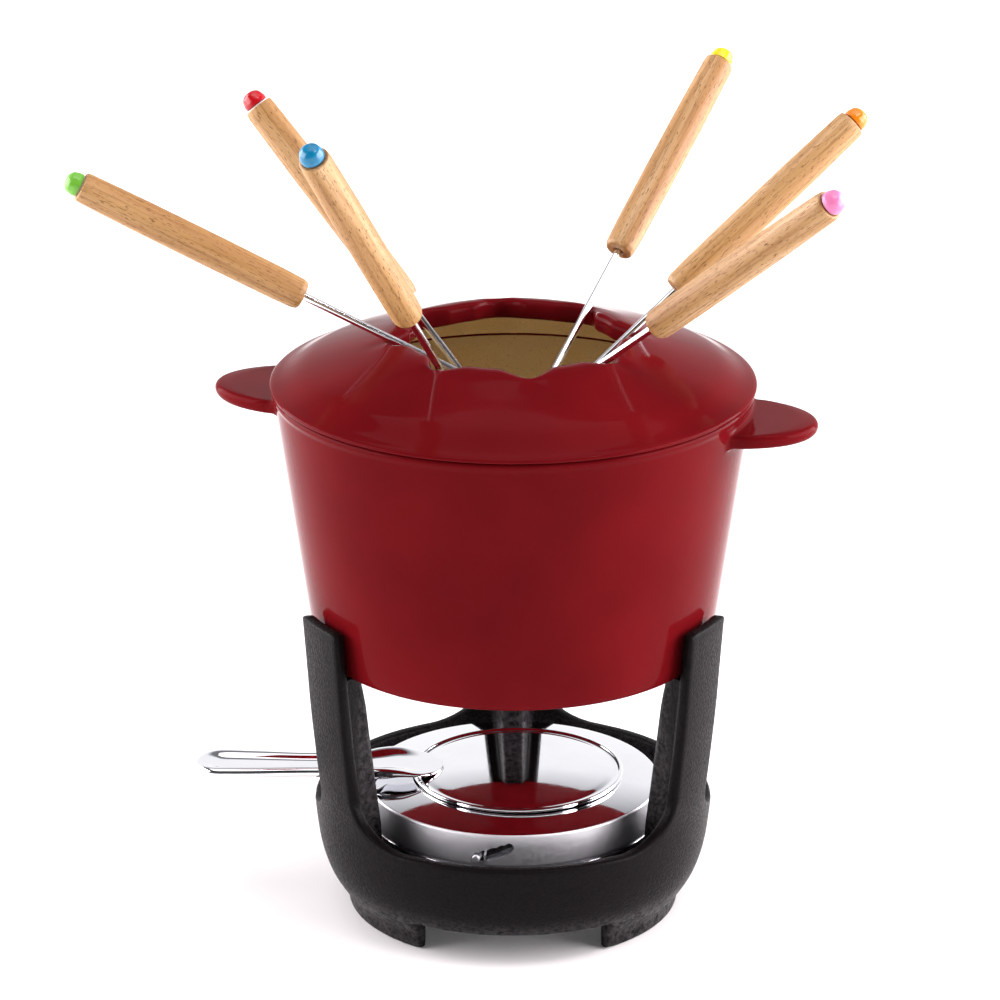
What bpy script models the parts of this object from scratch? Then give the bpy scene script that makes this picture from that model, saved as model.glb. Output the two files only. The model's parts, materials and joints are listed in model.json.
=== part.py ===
"""Fondue pot set: an enamelled cast iron pot on a three-armed cast iron stand,
a splash ring with eight notches, six forks and a regulated burner with a snuffer lid.

Metres, +Z up. The stand's feet rest on Z = 0 and the front faces -Y.
The pot, the stand and the burner share one upright centreline. The forks lean
further to the left than to the right, so that centreline stands a little
to the right of the middle of the whole set, at SET_CENTRE.
"""

import math

import bmesh
import bpy
from mathutils import Matrix, Vector

MM = 0.001
TURN = 2 * math.pi

# Placing and finish of the whole set
SET_CENTRE = (17.2 * MM, -8.2 * MM)
FIT_GAP = 0.3 * MM
SHARP_ANGLE = math.radians(38)

# Stand
ARM_ANGLES = (90, 210, 330)
ARM_HALF_ANGLE = math.radians(9.1)
ARM_TOP = 140.0 * MM
BOWL_RIM = 47.0 * MM
WINDOW_FILLET_WIDTH = math.radians(18)
WINDOW_FILLET_HEIGHT = 19.0 * MM
STAND_FLOOR = 18.0 * MM
FOOT_HALF_ANGLE = math.radians(26.5)
FOOT_HEIGHT = 14.6 * MM
RIB_WIDTH = 8.0 * MM
RIB_ROOT_WIDTH = 15.0 * MM
RIB_REACH = 72.5 * MM

# Pot
POT_BOTTOM = 116.4 * MM
POT_RIM = 228.4 * MM
POT_FOOT_RADIUS = 82.8 * MM
POT_WALL = 4.2 * MM
POT_TAPER = 0.1425
POT_SEGMENTS = 48
EAR_ANGLE = math.radians(-13)
EAR_TIP = 127.0 * MM
EAR_HALF_WIDTH = 25.0 * MM
EAR_MIDDLE = 218.6 * MM
EAR_THICKNESS = 5.8 * MM

# Splash ring
RING_RADIUS = 100.0 * MM
RING_EDGE = 230.2 * MM
RING_CREST = 250.0 * MM
RING_SHELL = 3.4 * MM
NOTCHES = 8
FIRST_NOTCH = math.radians(7)
LOBE_RADIUS = 43.0 * MM
NOTCH_RADIUS = 50.0 * MM
NOTCH_DIP = 1.7 * MM
COLLAR_RADIUS = 90.4 * MM
COLLAR_BOTTOM = 220.5 * MM

# Burner
BURNER_RADIUS = 61.5 * MM
BURNER_SHOULDER = 53.0 * MM
BURNER_TOP = 55.2 * MM
BURNER_MOUTH = 41.0 * MM
SHEET = 1.3 * MM
PAN_RADIUS = 57.6 * MM
PAN_FLANGE = 36.5 * MM
CUP_RADIUS = 55.5 * MM
CUP_FLOOR = 23.0 * MM
CUP_RIM = 45.0 * MM
SLOT_START = math.radians(255.5)
SLOT_SWEEP = math.radians(12.5)
SLOT_LOW = 42.2 * MM
SLOT_RISE = 4.8 * MM
SLOT_WIDTH = 4.6 * MM
PIN_RADIUS = 1.6 * MM

# Snuffer lid
LID_CENTRE = 2.0 * MM
LID_RADIUS = 44.4 * MM
LID_BASE = 55.5 * MM

# Forks
FORK_LENGTH = 256.0 * MM
CAP_LENGTH = 6.5 * MM
HANDLE_LENGTH = 101.0 * MM
HANDLE_RADIUS = 6.8 * MM
SHAFT_RADIUS = 1.6 * MM
TINE_LENGTH = 30.0 * MM
TINE_SPREAD = 2.1 * MM
REST_RADIUS = 48.2 * MM
REST_HEIGHT = 248.7 * MM

# Each fork: colour of its cap, its notch counted anticlockwise from the right, how far it
# leans sideways off that notch's radius, its lean above level, how far it
# sticks out of the ring, and how far it sits off the notch's middle.
FORKS = (
    ("orange", 0, 16.5, 38, 133.5 * MM, -1.3 * MM),
    ("yellow", 1, 3.5, 39.5, 137.5 * MM, -1.5 * MM),
    ("red", 3, 16, 49, 116 * MM, 1.9 * MM),
    ("green", 4, -3, 28.5, 150.5 * MM, 0.4 * MM),
    ("blue", 5, 3, 52.5, 140 * MM, -0.6 * MM),
    ("pink", 7, 5, 39, 137 * MM, -1.1 * MM),
)

CAP_COLOURS = {
    "orange": (0.85, 0.30, 0.03),
    "yellow": (0.86, 0.66, 0.02),
    "red": (0.60, 0.02, 0.03),
    "green": (0.05, 0.35, 0.07),
    "blue": (0.02, 0.32, 0.60),
    "pink": (0.80, 0.18, 0.38),
}


def clear_scene():
    for old in list(bpy.data.objects):
        bpy.data.objects.remove(old, do_unlink=True)


def material(name, colour, roughness, metallic=0.0):
    made = bpy.data.materials.new(name)
    made.use_nodes = True
    shader = made.node_tree.nodes["Principled BSDF"]
    shader.inputs["Base Color"].default_value = (*colour, 1.0)
    shader.inputs["Roughness"].default_value = roughness
    shader.inputs["Metallic"].default_value = metallic
    made.diffuse_color = (*colour, 1.0)
    return made


def empty(name, location=(0, 0, 0), parent=None):
    """An empty that stands on a joint's axis and carries the pieces that move with it."""
    made = bpy.data.objects.new(name, None)
    bpy.context.scene.collection.objects.link(made)
    made.location = location
    made.parent = parent
    return made


def solid(name, mesh_builder, finish, parent=None):
    """Turn a bmesh into a named object with outward faces and sharp creases."""
    bmesh.ops.recalc_face_normals(mesh_builder, faces=mesh_builder.faces)
    mesh = bpy.data.meshes.new(name)
    mesh_builder.to_mesh(mesh)
    mesh_builder.free()
    made = bpy.data.objects.new(name, mesh)
    bpy.context.scene.collection.objects.link(made)
    mesh.shade_smooth()
    mesh.set_sharp_from_angle(angle=SHARP_ANGLE)
    if finish:
        mesh.materials.append(finish)
    made.parent = parent
    return made


def cutter(name, mesh_builder, parent=None):
    made = solid(name, mesh_builder, None, parent)
    made.hide_render = True
    made.display_type = "WIRE"
    return made


def combine(target, operation, other):
    step = target.modifiers.new(other.name, "BOOLEAN")
    step.operation = operation
    step.object = other


def swept_section(section, segments):
    """Sweep a closed section round Z. section(angle) lists (radius, height) points."""
    made = bmesh.new()
    poles = {}
    rings = []
    for step in range(segments):
        angle = TURN * step / segments
        ring = []
        for place, (radius, height) in enumerate(section(angle)):
            if radius > 0:
                point = (radius * math.cos(angle), radius * math.sin(angle), height)
                ring.append(made.verts.new(point))
                continue
            if place not in poles:
                poles[place] = made.verts.new((0, 0, height))
            ring.append(poles[place])
        rings.append(ring)
    for step in range(segments):
        here = rings[step]
        there = rings[(step + 1) % segments]
        for place in range(len(here)):
            after = (place + 1) % len(here)
            corners = []
            for vert in (here[place], there[place], there[after], here[after]):
                if vert not in corners:
                    corners.append(vert)
            if len(corners) > 2:
                made.faces.new(corners)
    return made


def turned(profile, segments):
    return swept_section(lambda angle: profile, segments)


def arc(centre, radius, start, end, steps):
    """Points of a circular arc in the section plane, angles in degrees."""
    points = []
    for step in range(steps + 1):
        angle = math.radians(start + (end - start) * step / steps)
        points.append((centre[0] + radius * math.cos(angle), centre[1] + radius * math.sin(angle)))
    return points


def prism(outline, low, high):
    """Extrude an outline in XY from one height to another."""
    made = bmesh.new()
    base = [made.verts.new((x, y, low)) for x, y in outline]
    face = made.faces.new(base)
    grown = bmesh.ops.extrude_face_region(made, geom=[face])
    top = [item for item in grown["geom"] if isinstance(item, bmesh.types.BMVert)]
    bmesh.ops.translate(made, vec=(0, 0, high - low), verts=top)
    return made


def curved_block(columns, inner, outer):
    """A block bent round Z. Each column is (bottom angle, bottom, top angle, top)."""
    made = bmesh.new()
    rows = []
    for low_angle, low, high_angle, high in columns:
        row = []
        for angle, radius, height in (
            (low_angle, inner, low),
            (low_angle, outer, low),
            (high_angle, outer, high),
            (high_angle, inner, high),
        ):
            row.append(made.verts.new((radius * math.cos(angle), radius * math.sin(angle), height)))
        rows.append(row)
    made.faces.new(rows[0])
    made.faces.new(rows[-1])
    for here, there in zip(rows, rows[1:]):
        for place in range(4):
            after = (place + 1) % 4
            made.faces.new((here[place], there[place], there[after], here[after]))
    return made


def rotated(mesh_builder, angle):
    bmesh.ops.rotate(mesh_builder, matrix=Matrix.Rotation(angle, 3, "Z"), verts=mesh_builder.verts)
    return mesh_builder


# ---------------------------------------------------------------- stand

def stand_profile():
    """The stand's wall as if it went all the way round, arms and bowl in one."""
    outside = [
        (69.6, 0), (70.0, 6), (73.6, 10.5), (78.4, 19), (81.6, 30), (83.2, 42), (84.0, 50),
        (86.2, 63), (88.2, 80), (90.2, 100), (91.8, 122), (93.2, 140),
    ]
    inside = [
        (88.2, 140), (86.5, 120), (84.8, 100), (82.8, 80), (80.4, 60), (78.4, 47), (76.4, 32),
        (71.6, 22), (66.0, 18), (40.0, 18), (40.0, 14), (62.0, 14), (65.0, 11), (65.0, 0),
    ]
    return [(radius * MM, height * MM) for radius, height in outside + inside]


def window_columns():
    """Heights of one U-shaped window's lower edge, with a round fillet beside each arm."""
    half = math.pi / 3 - ARM_HALF_ANGLE
    steps = 6
    angles = []
    for step in range(steps + 1):
        turn = math.pi / 2 * step / steps
        across = WINDOW_FILLET_WIDTH * (1 - math.cos(turn))
        angles.append((half - across, BOWL_RIM + WINDOW_FILLET_HEIGHT * (1 - math.sin(turn))))
    right = [(angle, height, angle, ARM_TOP + 10 * MM) for angle, height in angles]
    middle = [(a, BOWL_RIM, a, ARM_TOP + 10 * MM) for a in (math.radians(d) for d in (22, 11, 0))]
    left = [(-angle, height, -high, top) for angle, height, high, top in reversed(right)]
    left_middle = [(-a, low, -b, top) for a, low, b, top in reversed(middle[:-1])]
    return right + middle + left_middle + left


def arch_columns():
    """The low arch between two feet, with rounded upper corners."""
    half = math.pi / 3 - FOOT_HALF_ANGLE
    corner = math.radians(2.5)
    upper = [
        (half, FOOT_HEIGHT - 3 * MM),
        (half - corner * 0.3, FOOT_HEIGHT - 0.9 * MM),
        (half - corner, FOOT_HEIGHT),
        (half / 2, FOOT_HEIGHT),
        (0, FOOT_HEIGHT),
    ]
    right = [(angle, -5 * MM, angle, top) for angle, top in upper]
    left = [(-a, low, -b, top) for a, low, b, top in reversed(right[:-1])]
    return right + left


def rib(angle):
    """The web inside one arm, thicker at its root. Its upper end is the ledge that carries the pot."""
    ledge = POT_BOTTOM - FIT_GAP
    inner = [(RIB_REACH - 3 * MM, 20 * MM), (RIB_REACH - 8 * MM, 32 * MM), (RIB_REACH - 5 * MM, 62 * MM),
             (RIB_REACH, ledge - 4 * MM), (RIB_REACH + 3 * MM, ledge)]
    outer = [(80.0 * MM, ledge), (86.0 * MM, ledge - 1 * MM), (83.5 * MM, 62 * MM), (79 * MM, 32 * MM),
             (72.5 * MM, 20 * MM)]
    made = bmesh.new()
    sides = []
    for sign in (-1, 1):
        near = [made.verts.new((r, sign * RIB_WIDTH / 2, z)) for r, z in inner]
        far = [made.verts.new((r, sign * RIB_ROOT_WIDTH / 2, z)) for r, z in outer]
        sides.append(near + [made.verts.new((RIB_REACH + 6 * MM, sign * RIB_WIDTH / 2, ledge))] + far)
    made.faces.new(sides[0])
    made.faces.new(sides[1])
    for place in range(len(sides[0])):
        after = (place + 1) % len(sides[0])
        made.faces.new((sides[0][place], sides[0][after], sides[1][after], sides[1][place]))
    return rotated(made, angle)


def make_stand(centre, cast_iron):
    stand = solid("stand", turned(stand_profile(), 60), cast_iron, centre)
    for number, degrees in enumerate(ARM_ANGLES):
        angle = math.radians(degrees)
        opposite = angle + math.pi
        window = rotated(curved_block(window_columns(), 60 * MM, 110 * MM), opposite)
        combine(stand, "DIFFERENCE", cutter(f"window_cut_{number}", window, centre))
        arch = rotated(curved_block(arch_columns(), 55 * MM, 90 * MM), opposite)
        combine(stand, "DIFFERENCE", cutter(f"arch_cut_{number}", arch, centre))
    for number, degrees in enumerate(ARM_ANGLES):
        web = cutter(f"rib_{number}", rib(math.radians(degrees)), centre)
        combine(stand, "UNION", web)
    return stand


# ---------------------------------------------------------------- pot

def pot_radius(height):
    """Outer radius of the pot's tapered wall."""
    return POT_FOOT_RADIUS + (height - POT_BOTTOM) * POT_TAPER


def pot_profile():
    """Tapered wall with a rounded foot corner, a slight bead at the rim and a flat floor."""
    corner = 3.4 * MM
    outside = [(0, POT_BOTTOM)]
    outside += arc((POT_FOOT_RADIUS - corner, POT_BOTTOM + corner), corner, 270, 352, 3)
    outside += [(pot_radius(POT_RIM - 7 * MM), POT_RIM - 7 * MM)]
    outside += [(pot_radius(POT_RIM) + 0.4 * MM, POT_RIM - 2 * MM), (pot_radius(POT_RIM) - 0.4 * MM, POT_RIM)]
    floor = POT_BOTTOM + 5 * MM
    inner_foot = pot_radius(floor) - POT_WALL
    inside = [(pot_radius(POT_RIM) - POT_WALL, POT_RIM), (inner_foot + 1.4 * MM, floor + 9 * MM)]
    inside += [(inner_foot - 2.0 * MM, floor + 2 * MM), (inner_foot - 8 * MM, floor), (0, floor)]
    return outside + inside


def ear_outline():
    """Half an ellipse that grows out of the pot's wall, closed by an arc inside that wall."""
    root = 91.0 * MM
    reach = EAR_TIP - root
    buried = pot_radius(EAR_MIDDLE) - POT_WALL / 2
    points = []
    steps = 14
    for step in range(steps + 1):
        turn = -math.pi / 2 + math.pi * step / steps
        points.append((root + reach * math.cos(turn), EAR_HALF_WIDTH * math.sin(turn)))
    span = math.asin((EAR_HALF_WIDTH - 3.0 * MM) / buried)
    for step in range(5):
        turn = span * (1 - step / 2)
        points.append((buried * math.cos(turn), buried * math.sin(turn)))
    return points


def make_pot(carrier, enamel):
    pot = solid("pot", turned(pot_profile(), POT_SEGMENTS), enamel, carrier)
    for number, angle in enumerate((EAR_ANGLE, EAR_ANGLE + math.pi)):
        plate = prism(ear_outline(), EAR_MIDDLE - EAR_THICKNESS / 2, EAR_MIDDLE + EAR_THICKNESS / 2)
        level = [edge for edge in plate.edges if abs(edge.verts[0].co.z - edge.verts[1].co.z) < 1e-6]
        free = [edge for edge in level if min(vert.co.x for vert in edge.verts) > 91.1 * MM]
        bmesh.ops.bevel(plate, geom=free, offset=1.6 * MM, segments=2, affect="EDGES", profile=0.5)
        ear = cutter(f"ear_{number}", rotated(plate, angle), carrier)
        combine(pot, "UNION", ear)
    return pot


# ---------------------------------------------------------------- splash ring

def notch_weight(angle):
    """1 in the middle of a notch, 0 on the lobes."""
    turn = (angle - FIRST_NOTCH) * NOTCHES / TURN
    off = abs((turn + 0.5) % 1 - 0.5) * 2
    weight = max(0.0, 1 - off / 0.7)
    return weight * weight * (3 - 2 * weight)


DOME = ((100, 0.0), (95, 2.0), (90, 4.9), (85, 7.5), (80, 9.5), (72, 12.2), (64, 14.8), (56, 17.2), (45, 19.8))


def dome_height(radius):
    """Height of the ring's upper face: a flat edge, a steep shoulder, then a gentle rise."""
    for (outer, low), (inner, high) in zip(DOME, DOME[1:]):
        if radius >= inner * MM:
            share = (outer * MM - radius) / ((outer - inner) * MM)
            return RING_EDGE + (low + (high - low) * share) * MM
    return RING_CREST


def ring_section(angle):
    weight = notch_weight(angle)
    mouth = LOBE_RADIUS + (NOTCH_RADIUS - LOBE_RADIUS) * weight
    top = RING_CREST - NOTCH_DIP * weight
    foot = POT_RIM + FIT_GAP
    section = [(RING_RADIUS - 0.6 * MM, foot), (RING_RADIUS, RING_EDGE - 0.4 * MM)]
    for radius in (95 * MM, 85 * MM, 72 * MM):
        section.append((radius, dome_height(radius)))
    section.append((59 * MM, dome_height(59 * MM) - 0.2 * NOTCH_DIP * weight))
    section += [(mouth + 2.2 * MM, top), (mouth, top - 2.6 * MM), (mouth + 0.8 * MM, top - 7.2 * MM)]
    section += [(mouth + 3.4 * MM, top - 7.6 * MM)]
    section.append((62 * MM, dome_height(62 * MM) - RING_SHELL - 0.8 * MM))
    section.append((COLLAR_RADIUS - 3.4 * MM, dome_height(87 * MM) - RING_SHELL - 0.6 * MM))
    section += [(COLLAR_RADIUS - 3.0 * MM, COLLAR_BOTTOM), (COLLAR_RADIUS, COLLAR_BOTTOM)]
    section.append((COLLAR_RADIUS + 0.6 * MM, foot))
    return section


def make_ring(carrier, enamel):
    return solid("splash_ring", swept_section(ring_section, NOTCHES * 8), enamel, carrier)


# ---------------------------------------------------------------- burner

def slot_height(angle):
    """Height of the middle of the inclined slot at an angle round the burner."""
    return SLOT_LOW + SLOT_RISE * (angle - SLOT_START) / SLOT_SWEEP


def slot_columns():
    """The inclined slot, round at both ends and stepped along its upper edge."""
    overhang = SLOT_WIDTH / 2 / BURNER_RADIUS
    columns = []
    steps = 12
    for step in range(steps + 1):
        share = step / steps
        angle = SLOT_START - overhang + (SLOT_SWEEP + 2 * overhang) * share
        from_end = min(share, 1 - share) * (SLOT_SWEEP + 2 * overhang) / overhang
        reach = math.sqrt(max(0.12, 1 - max(0.0, 1 - from_end) ** 2))
        half = SLOT_WIDTH / 2 * reach
        ripple = 0.4 * MM * (step % 3 == 1)
        middle = slot_height(angle)
        columns.append((angle, middle - half, angle, middle + half + ripple))
    return columns


def make_pan(carrier, steel):
    wall = PAN_RADIUS - SHEET
    floor = STAND_FLOOR + FIT_GAP
    profile = [
        (0, floor), (45 * MM, floor), (53.5 * MM, floor + 3 * MM), (PAN_RADIUS, floor + 10 * MM),
        (PAN_RADIUS, PAN_FLANGE), (BURNER_RADIUS - 0.5 * MM, PAN_FLANGE),
        (BURNER_RADIUS - 0.5 * MM, PAN_FLANGE + SHEET), (PAN_RADIUS, PAN_FLANGE + SHEET),
        (PAN_RADIUS, 49 * MM), (wall, 49 * MM), (wall, floor + 10.4 * MM),
        (52.6 * MM, floor + 4.2 * MM), (44.6 * MM, floor + SHEET), (0, floor + SHEET),
    ]
    pan = solid("burner_pan", turned(profile, 40), steel, carrier)
    half = 2.2 * MM / PAN_RADIUS
    guide = curved_block(
        [(SLOT_START - half, 39.4 * MM, SLOT_START - half, 55 * MM),
         (SLOT_START + half, 39.4 * MM, SLOT_START + half, 55 * MM)],
        PAN_RADIUS - 4 * MM, PAN_RADIUS + 1 * MM)
    combine(pan, "DIFFERENCE", cutter("pin_guide_cut", guide, carrier))
    return pan


def make_collar(carrier, steel):
    """The turning outer shell: plain wall, sloping top and the flame's mouth."""
    inner = BURNER_RADIUS - SHEET
    low = PAN_FLANGE + SHEET + FIT_GAP
    profile = [
        (BURNER_RADIUS - 0.8 * MM, low), (BURNER_RADIUS, low + 2.2 * MM),
        (BURNER_RADIUS, BURNER_SHOULDER - 0.8 * MM), (BURNER_RADIUS - 0.8 * MM, BURNER_SHOULDER),
        (43.0 * MM, BURNER_TOP), (BURNER_MOUTH, BURNER_TOP - 0.8 * MM),
        (BURNER_MOUTH, BURNER_TOP - 3 * MM), (BURNER_MOUTH + SHEET, BURNER_TOP - 3 * MM),
        (BURNER_MOUTH + SHEET, BURNER_TOP - 1.5 * MM), (inner, BURNER_SHOULDER - SHEET - 0.4 * MM),
        (inner, low),
    ]
    collar = solid("regulator_collar", turned(profile, 54), steel, carrier)
    slot = curved_block(slot_columns(), BURNER_RADIUS - 3 * MM, BURNER_RADIUS + 2 * MM)
    combine(collar, "DIFFERENCE", cutter("regulator_slot_cut", slot, carrier))
    return collar


def make_cup(carrier, steel, wool, mesh_steel):
    """The fuel cup, the fibre that soaks up the fuel and the wire gauze over it."""
    wall = 1.0 * MM
    inside = CUP_RADIUS - wall
    profile = [
        (0, CUP_FLOOR), (49 * MM, CUP_FLOOR), (CUP_RADIUS, CUP_FLOOR + 7 * MM), (CUP_RADIUS, CUP_RIM),
        (CUP_RADIUS - 4 * MM, CUP_RIM), (CUP_RADIUS - 4 * MM, CUP_RIM - wall), (inside, CUP_RIM - wall),
        (inside, CUP_FLOOR + 7.4 * MM), (48.4 * MM, CUP_FLOOR + wall), (0, CUP_FLOOR + wall),
    ]
    solid("fuel_cup", turned(profile, 36), steel, carrier)
    low = CUP_FLOOR + wall + FIT_GAP
    high = CUP_RIM - wall - 1.8 * MM
    pad = [
        (0, low), (47.8 * MM, low), (inside - FIT_GAP, low + 6.6 * MM), (inside - FIT_GAP, high),
        (0, high),
    ]
    solid("fuel_fibre", turned(pad, 28), wool, carrier)
    top = CUP_RIM - wall - FIT_GAP
    disc = [(0, high + FIT_GAP), (inside - 0.5 * MM, high + FIT_GAP), (inside - 0.5 * MM, top), (0, top)]
    solid("wire_gauze", turned(disc, 32), mesh_steel, carrier)


def make_pin(carrier, steel):
    """The knob that rides in the collar's slot, fixed to the cup's wall."""
    profile = [
        (0, CUP_RADIUS + FIT_GAP), (PIN_RADIUS, CUP_RADIUS + FIT_GAP),
        (PIN_RADIUS, BURNER_RADIUS + 0.9 * MM), (PIN_RADIUS - 0.7 * MM, BURNER_RADIUS + 1.6 * MM),
        (0, BURNER_RADIUS + 1.6 * MM),
    ]
    made = turned(profile, 14)
    lay_down = Matrix.Rotation(math.pi / 2, 3, "Y")
    bmesh.ops.rotate(made, matrix=lay_down, verts=made.verts)
    rotated(made, SLOT_START)
    bmesh.ops.translate(made, vec=(0, 0, SLOT_LOW), verts=made.verts)
    solid("regulator_pin", made, steel, carrier)


# ---------------------------------------------------------------- snuffer lid

def make_lid(carrier, steel):
    rim = 1.3 * MM
    dish = LID_BASE + 0.9 * MM
    profile = [(0, dish), (38 * MM, dish), (40.5 * MM, LID_BASE)]
    profile += arc((LID_RADIUS - rim, LID_BASE + rim + 0.1 * MM), rim, -90, 120, 4)
    profile += [(40.3 * MM, LID_BASE + 1.4 * MM), (38.0 * MM, dish + 0.9 * MM), (0, dish + 0.9 * MM)]
    solid("snuffer_lid", turned(profile, 48), steel, carrier)


def handle_section(width, thickness, middle, x):
    """One cross-section of the pressed handle: a shallow channel with rounded sides."""
    half = width / 2
    dip = thickness * 0.45
    outline = [
        (-half, middle), (-half + thickness * 0.4, middle + thickness / 2),
        (-half * 0.35, middle + thickness / 2 - dip), (half * 0.35, middle + thickness / 2 - dip),
        (half - thickness * 0.4, middle + thickness / 2), (half, middle),
        (half - thickness * 0.5, middle - thickness / 2), (-half + thickness * 0.5, middle - thickness / 2),
    ]
    return [(x, y, z) for y, z in outline]


def make_lid_handle(carrier, steel):
    """A long pressed strip from the lid's rim out past the stand's arms."""
    level = LID_BASE + 4.0 * MM
    stations = (
        (-28, 14, 1.0, -1.4), (-31, 20, 1.0, -1.4), (-36.5, 25, 1.0, -1.4), (-41, 28, 1.4, -0.2),
        (-48, 30, 3.0, 0.7), (-56, 27, 4.6, -0.2), (-66, 21, 4.2, -0.8), (-85, 20, 4.2, -0.8),
        (-110, 23, 4.4, -0.6), (-124, 24, 4.4, -0.4), (-130, 19, 3.8, -0.4), (-133.5, 9, 2.6, -0.4),
    )
    made = bmesh.new()
    loops = []
    for x, width, thickness, lift in stations:
        middle = level + lift * MM
        points = handle_section(width * MM, thickness * MM, middle, x * MM - LID_CENTRE)
        loops.append([made.verts.new(point) for point in points])
    made.faces.new(loops[0])
    made.faces.new(loops[-1])
    for here, there in zip(loops, loops[1:]):
        for place in range(len(here)):
            after = (place + 1) % len(here)
            made.faces.new((here[place], there[place], there[after], here[after]))
    solid("lid_handle", made, steel, carrier)


# ---------------------------------------------------------------- forks

def handle_profile():
    """Wooden handle, thickest near its lower third, rounded at both ends."""
    r = HANDLE_RADIUS
    length = HANDLE_LENGTH
    bore = SHAFT_RADIUS + FIT_GAP
    return [
        (0, 0), (r * 0.8, 0), (r * 0.9, 2 * MM), (r, 60 * MM), (r * 0.98, length - 8 * MM),
        (r * 0.8, length - 1.5 * MM), (r * 0.5, length), (bore, length), (bore, length - 30 * MM),
        (0, length - 30 * MM),
    ]


def cap_profile():
    """Coloured end cap with a domed top, seated on the handle's end."""
    r = 4.9 * MM
    seat = -FIT_GAP
    dome = -CAP_LENGTH
    return [(0, seat), (r, seat), (r, dome * 0.35), (r * 0.8, dome * 0.76), (r * 0.42, dome * 0.97), (0, dome)]


def fork_steel():
    """Round shaft that flattens, splits in two and ends in two pointed tines."""
    start = CAP_LENGTH + HANDLE_LENGTH - 29.5 * MM
    shoulder = FORK_LENGTH - TINE_LENGTH
    r = SHAFT_RADIUS
    made = turned([(0, start), (r, start), (r, shoulder + 1 * MM), (0, shoulder + 1 * MM)], 10)
    return made


def tines(side):
    """One tine: it leaves the shaft, runs straight and ends in a point."""
    shoulder = FORK_LENGTH - TINE_LENGTH
    thick = 0.8 * MM
    path = [
        (0.2 * MM, shoulder - 1 * MM, 1.2 * MM), (TINE_SPREAD * 0.62, shoulder + 4 * MM, 1.0 * MM),
        (TINE_SPREAD, shoulder + 9 * MM, 0.8 * MM), (TINE_SPREAD, FORK_LENGTH - 7 * MM, 0.75 * MM),
        (TINE_SPREAD, FORK_LENGTH - 0.2 * MM, 0.2 * MM),
    ]
    made = bmesh.new()
    loops = []
    for across, down, half in path:
        flat = min(half, thick)
        points = ((side * across - half, -flat), (side * across + half, -flat),
                  (side * across + half, flat), (side * across - half, flat))
        loops.append([made.verts.new((x, y, down)) for x, y in points])
    made.faces.new(loops[0])
    made.faces.new(loops[-1])
    for here, there in zip(loops, loops[1:]):
        for place in range(4):
            after = (place + 1) % 4
            made.faces.new((here[place], there[place], there[after], here[after]))
    return made


def fork_axes(notch, swing, lean, reach, offset):
    """Where a fork's cap end is, and the way it points down into the pot."""
    angle = FIRST_NOTCH + TURN * notch / NOTCHES
    heading = angle + math.radians(swing)
    lift = math.radians(lean)
    rest = Vector((REST_RADIUS * math.cos(angle), REST_RADIUS * math.sin(angle), REST_HEIGHT))
    rest += offset * Vector((-math.sin(angle), math.cos(angle), 0))
    out = Vector((math.cos(lift) * math.cos(heading), math.cos(lift) * math.sin(heading), math.sin(lift)))
    across = Vector((-math.sin(heading), math.cos(heading), 0))
    return rest + reach * out, -out, across


def make_fork(centre, fork, wood, steel, cap_finish):
    colour, notch, swing, lean, reach, offset = fork
    end, down, across = fork_axes(notch, swing, lean, reach, offset)
    frame = Matrix((across, down.cross(across), down)).transposed()
    carrier = empty(f"{colour}_fork", end, centre)
    carrier.rotation_euler = frame.to_euler()
    handle = turned(handle_profile(), 16)
    bmesh.ops.translate(handle, vec=(0, 0, CAP_LENGTH), verts=handle.verts)
    solid(f"{colour}_fork_handle", handle, wood, carrier)
    cap = turned(cap_profile(), 14)
    bmesh.ops.translate(cap, vec=(0, 0, CAP_LENGTH), verts=cap.verts)
    solid(f"{colour}_fork_cap", cap, cap_finish, carrier)
    shaft = solid(f"{colour}_fork_tines", fork_steel(), steel, carrier)
    for number, side in enumerate((-1, 1)):
        tine = cutter(f"{colour}_tine_{number}", tines(side), carrier)
        combine(shaft, "UNION", tine)


# ---------------------------------------------------------------- assembly

def main():
    clear_scene()
    red = material("enamel_red", (0.30, 0.012, 0.022), 0.12)
    black = material("cast_iron_black", (0.028, 0.027, 0.029), 0.55, 0.4)
    chrome = material("chromed_steel", (0.80, 0.80, 0.81), 0.08, 1.0)
    wire = material("polished_steel", (0.78, 0.78, 0.79), 0.12, 1.0)
    dull = material("plain_steel", (0.50, 0.50, 0.50), 0.35, 1.0)
    wool = material("fuel_fibre", (0.72, 0.70, 0.66), 0.95)
    gauze = material("gauze_wire", (0.42, 0.42, 0.42), 0.5, 1.0)
    wood = material("fork_wood", (0.70, 0.46, 0.20), 0.5)

    centre = empty("set_centreline", (*SET_CENTRE, 0))
    make_stand(centre, black)
    pot_carrier = empty("pot_lift", (0, 0, 0), centre)
    make_pot(pot_carrier, red)
    ring_carrier = empty("ring_lift", (0, 0, 0), pot_carrier)
    make_ring(ring_carrier, red)

    burner = empty("burner_lift", (0, 0, 0), centre)
    make_pan(burner, chrome)
    turner = empty("regulator_turn", (0, 0, 0), burner)
    make_collar(turner, chrome)
    riser = empty("cup_rise", (0, 0, 0), burner)
    make_cup(riser, dull, wool, gauze)
    make_pin(riser, chrome)
    lid = empty("lid_lift", (LID_CENTRE, 0, 0), burner)
    make_lid(lid, chrome)
    make_lid_handle(lid, chrome)

    for fork in FORKS:
        cap = material(f"{fork[0]}_cap", CAP_COLOURS[fork[0]], 0.25)
        make_fork(ring_carrier, fork, wood, wire, cap)


main()
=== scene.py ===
# %% [markdown]
# # A fondue pot set
# An enamelled cast iron pot stands on three cast arms above a small spirit burner.
# A notched ring on its rim keeps six long forks apart and stops splashes.
# Each piece below is made on its own, in the place that the fixed CAD frame gives it.

import bisect
import json
import math

import bmesh
import bpy
from mathutils import Matrix, Vector, noise


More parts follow.
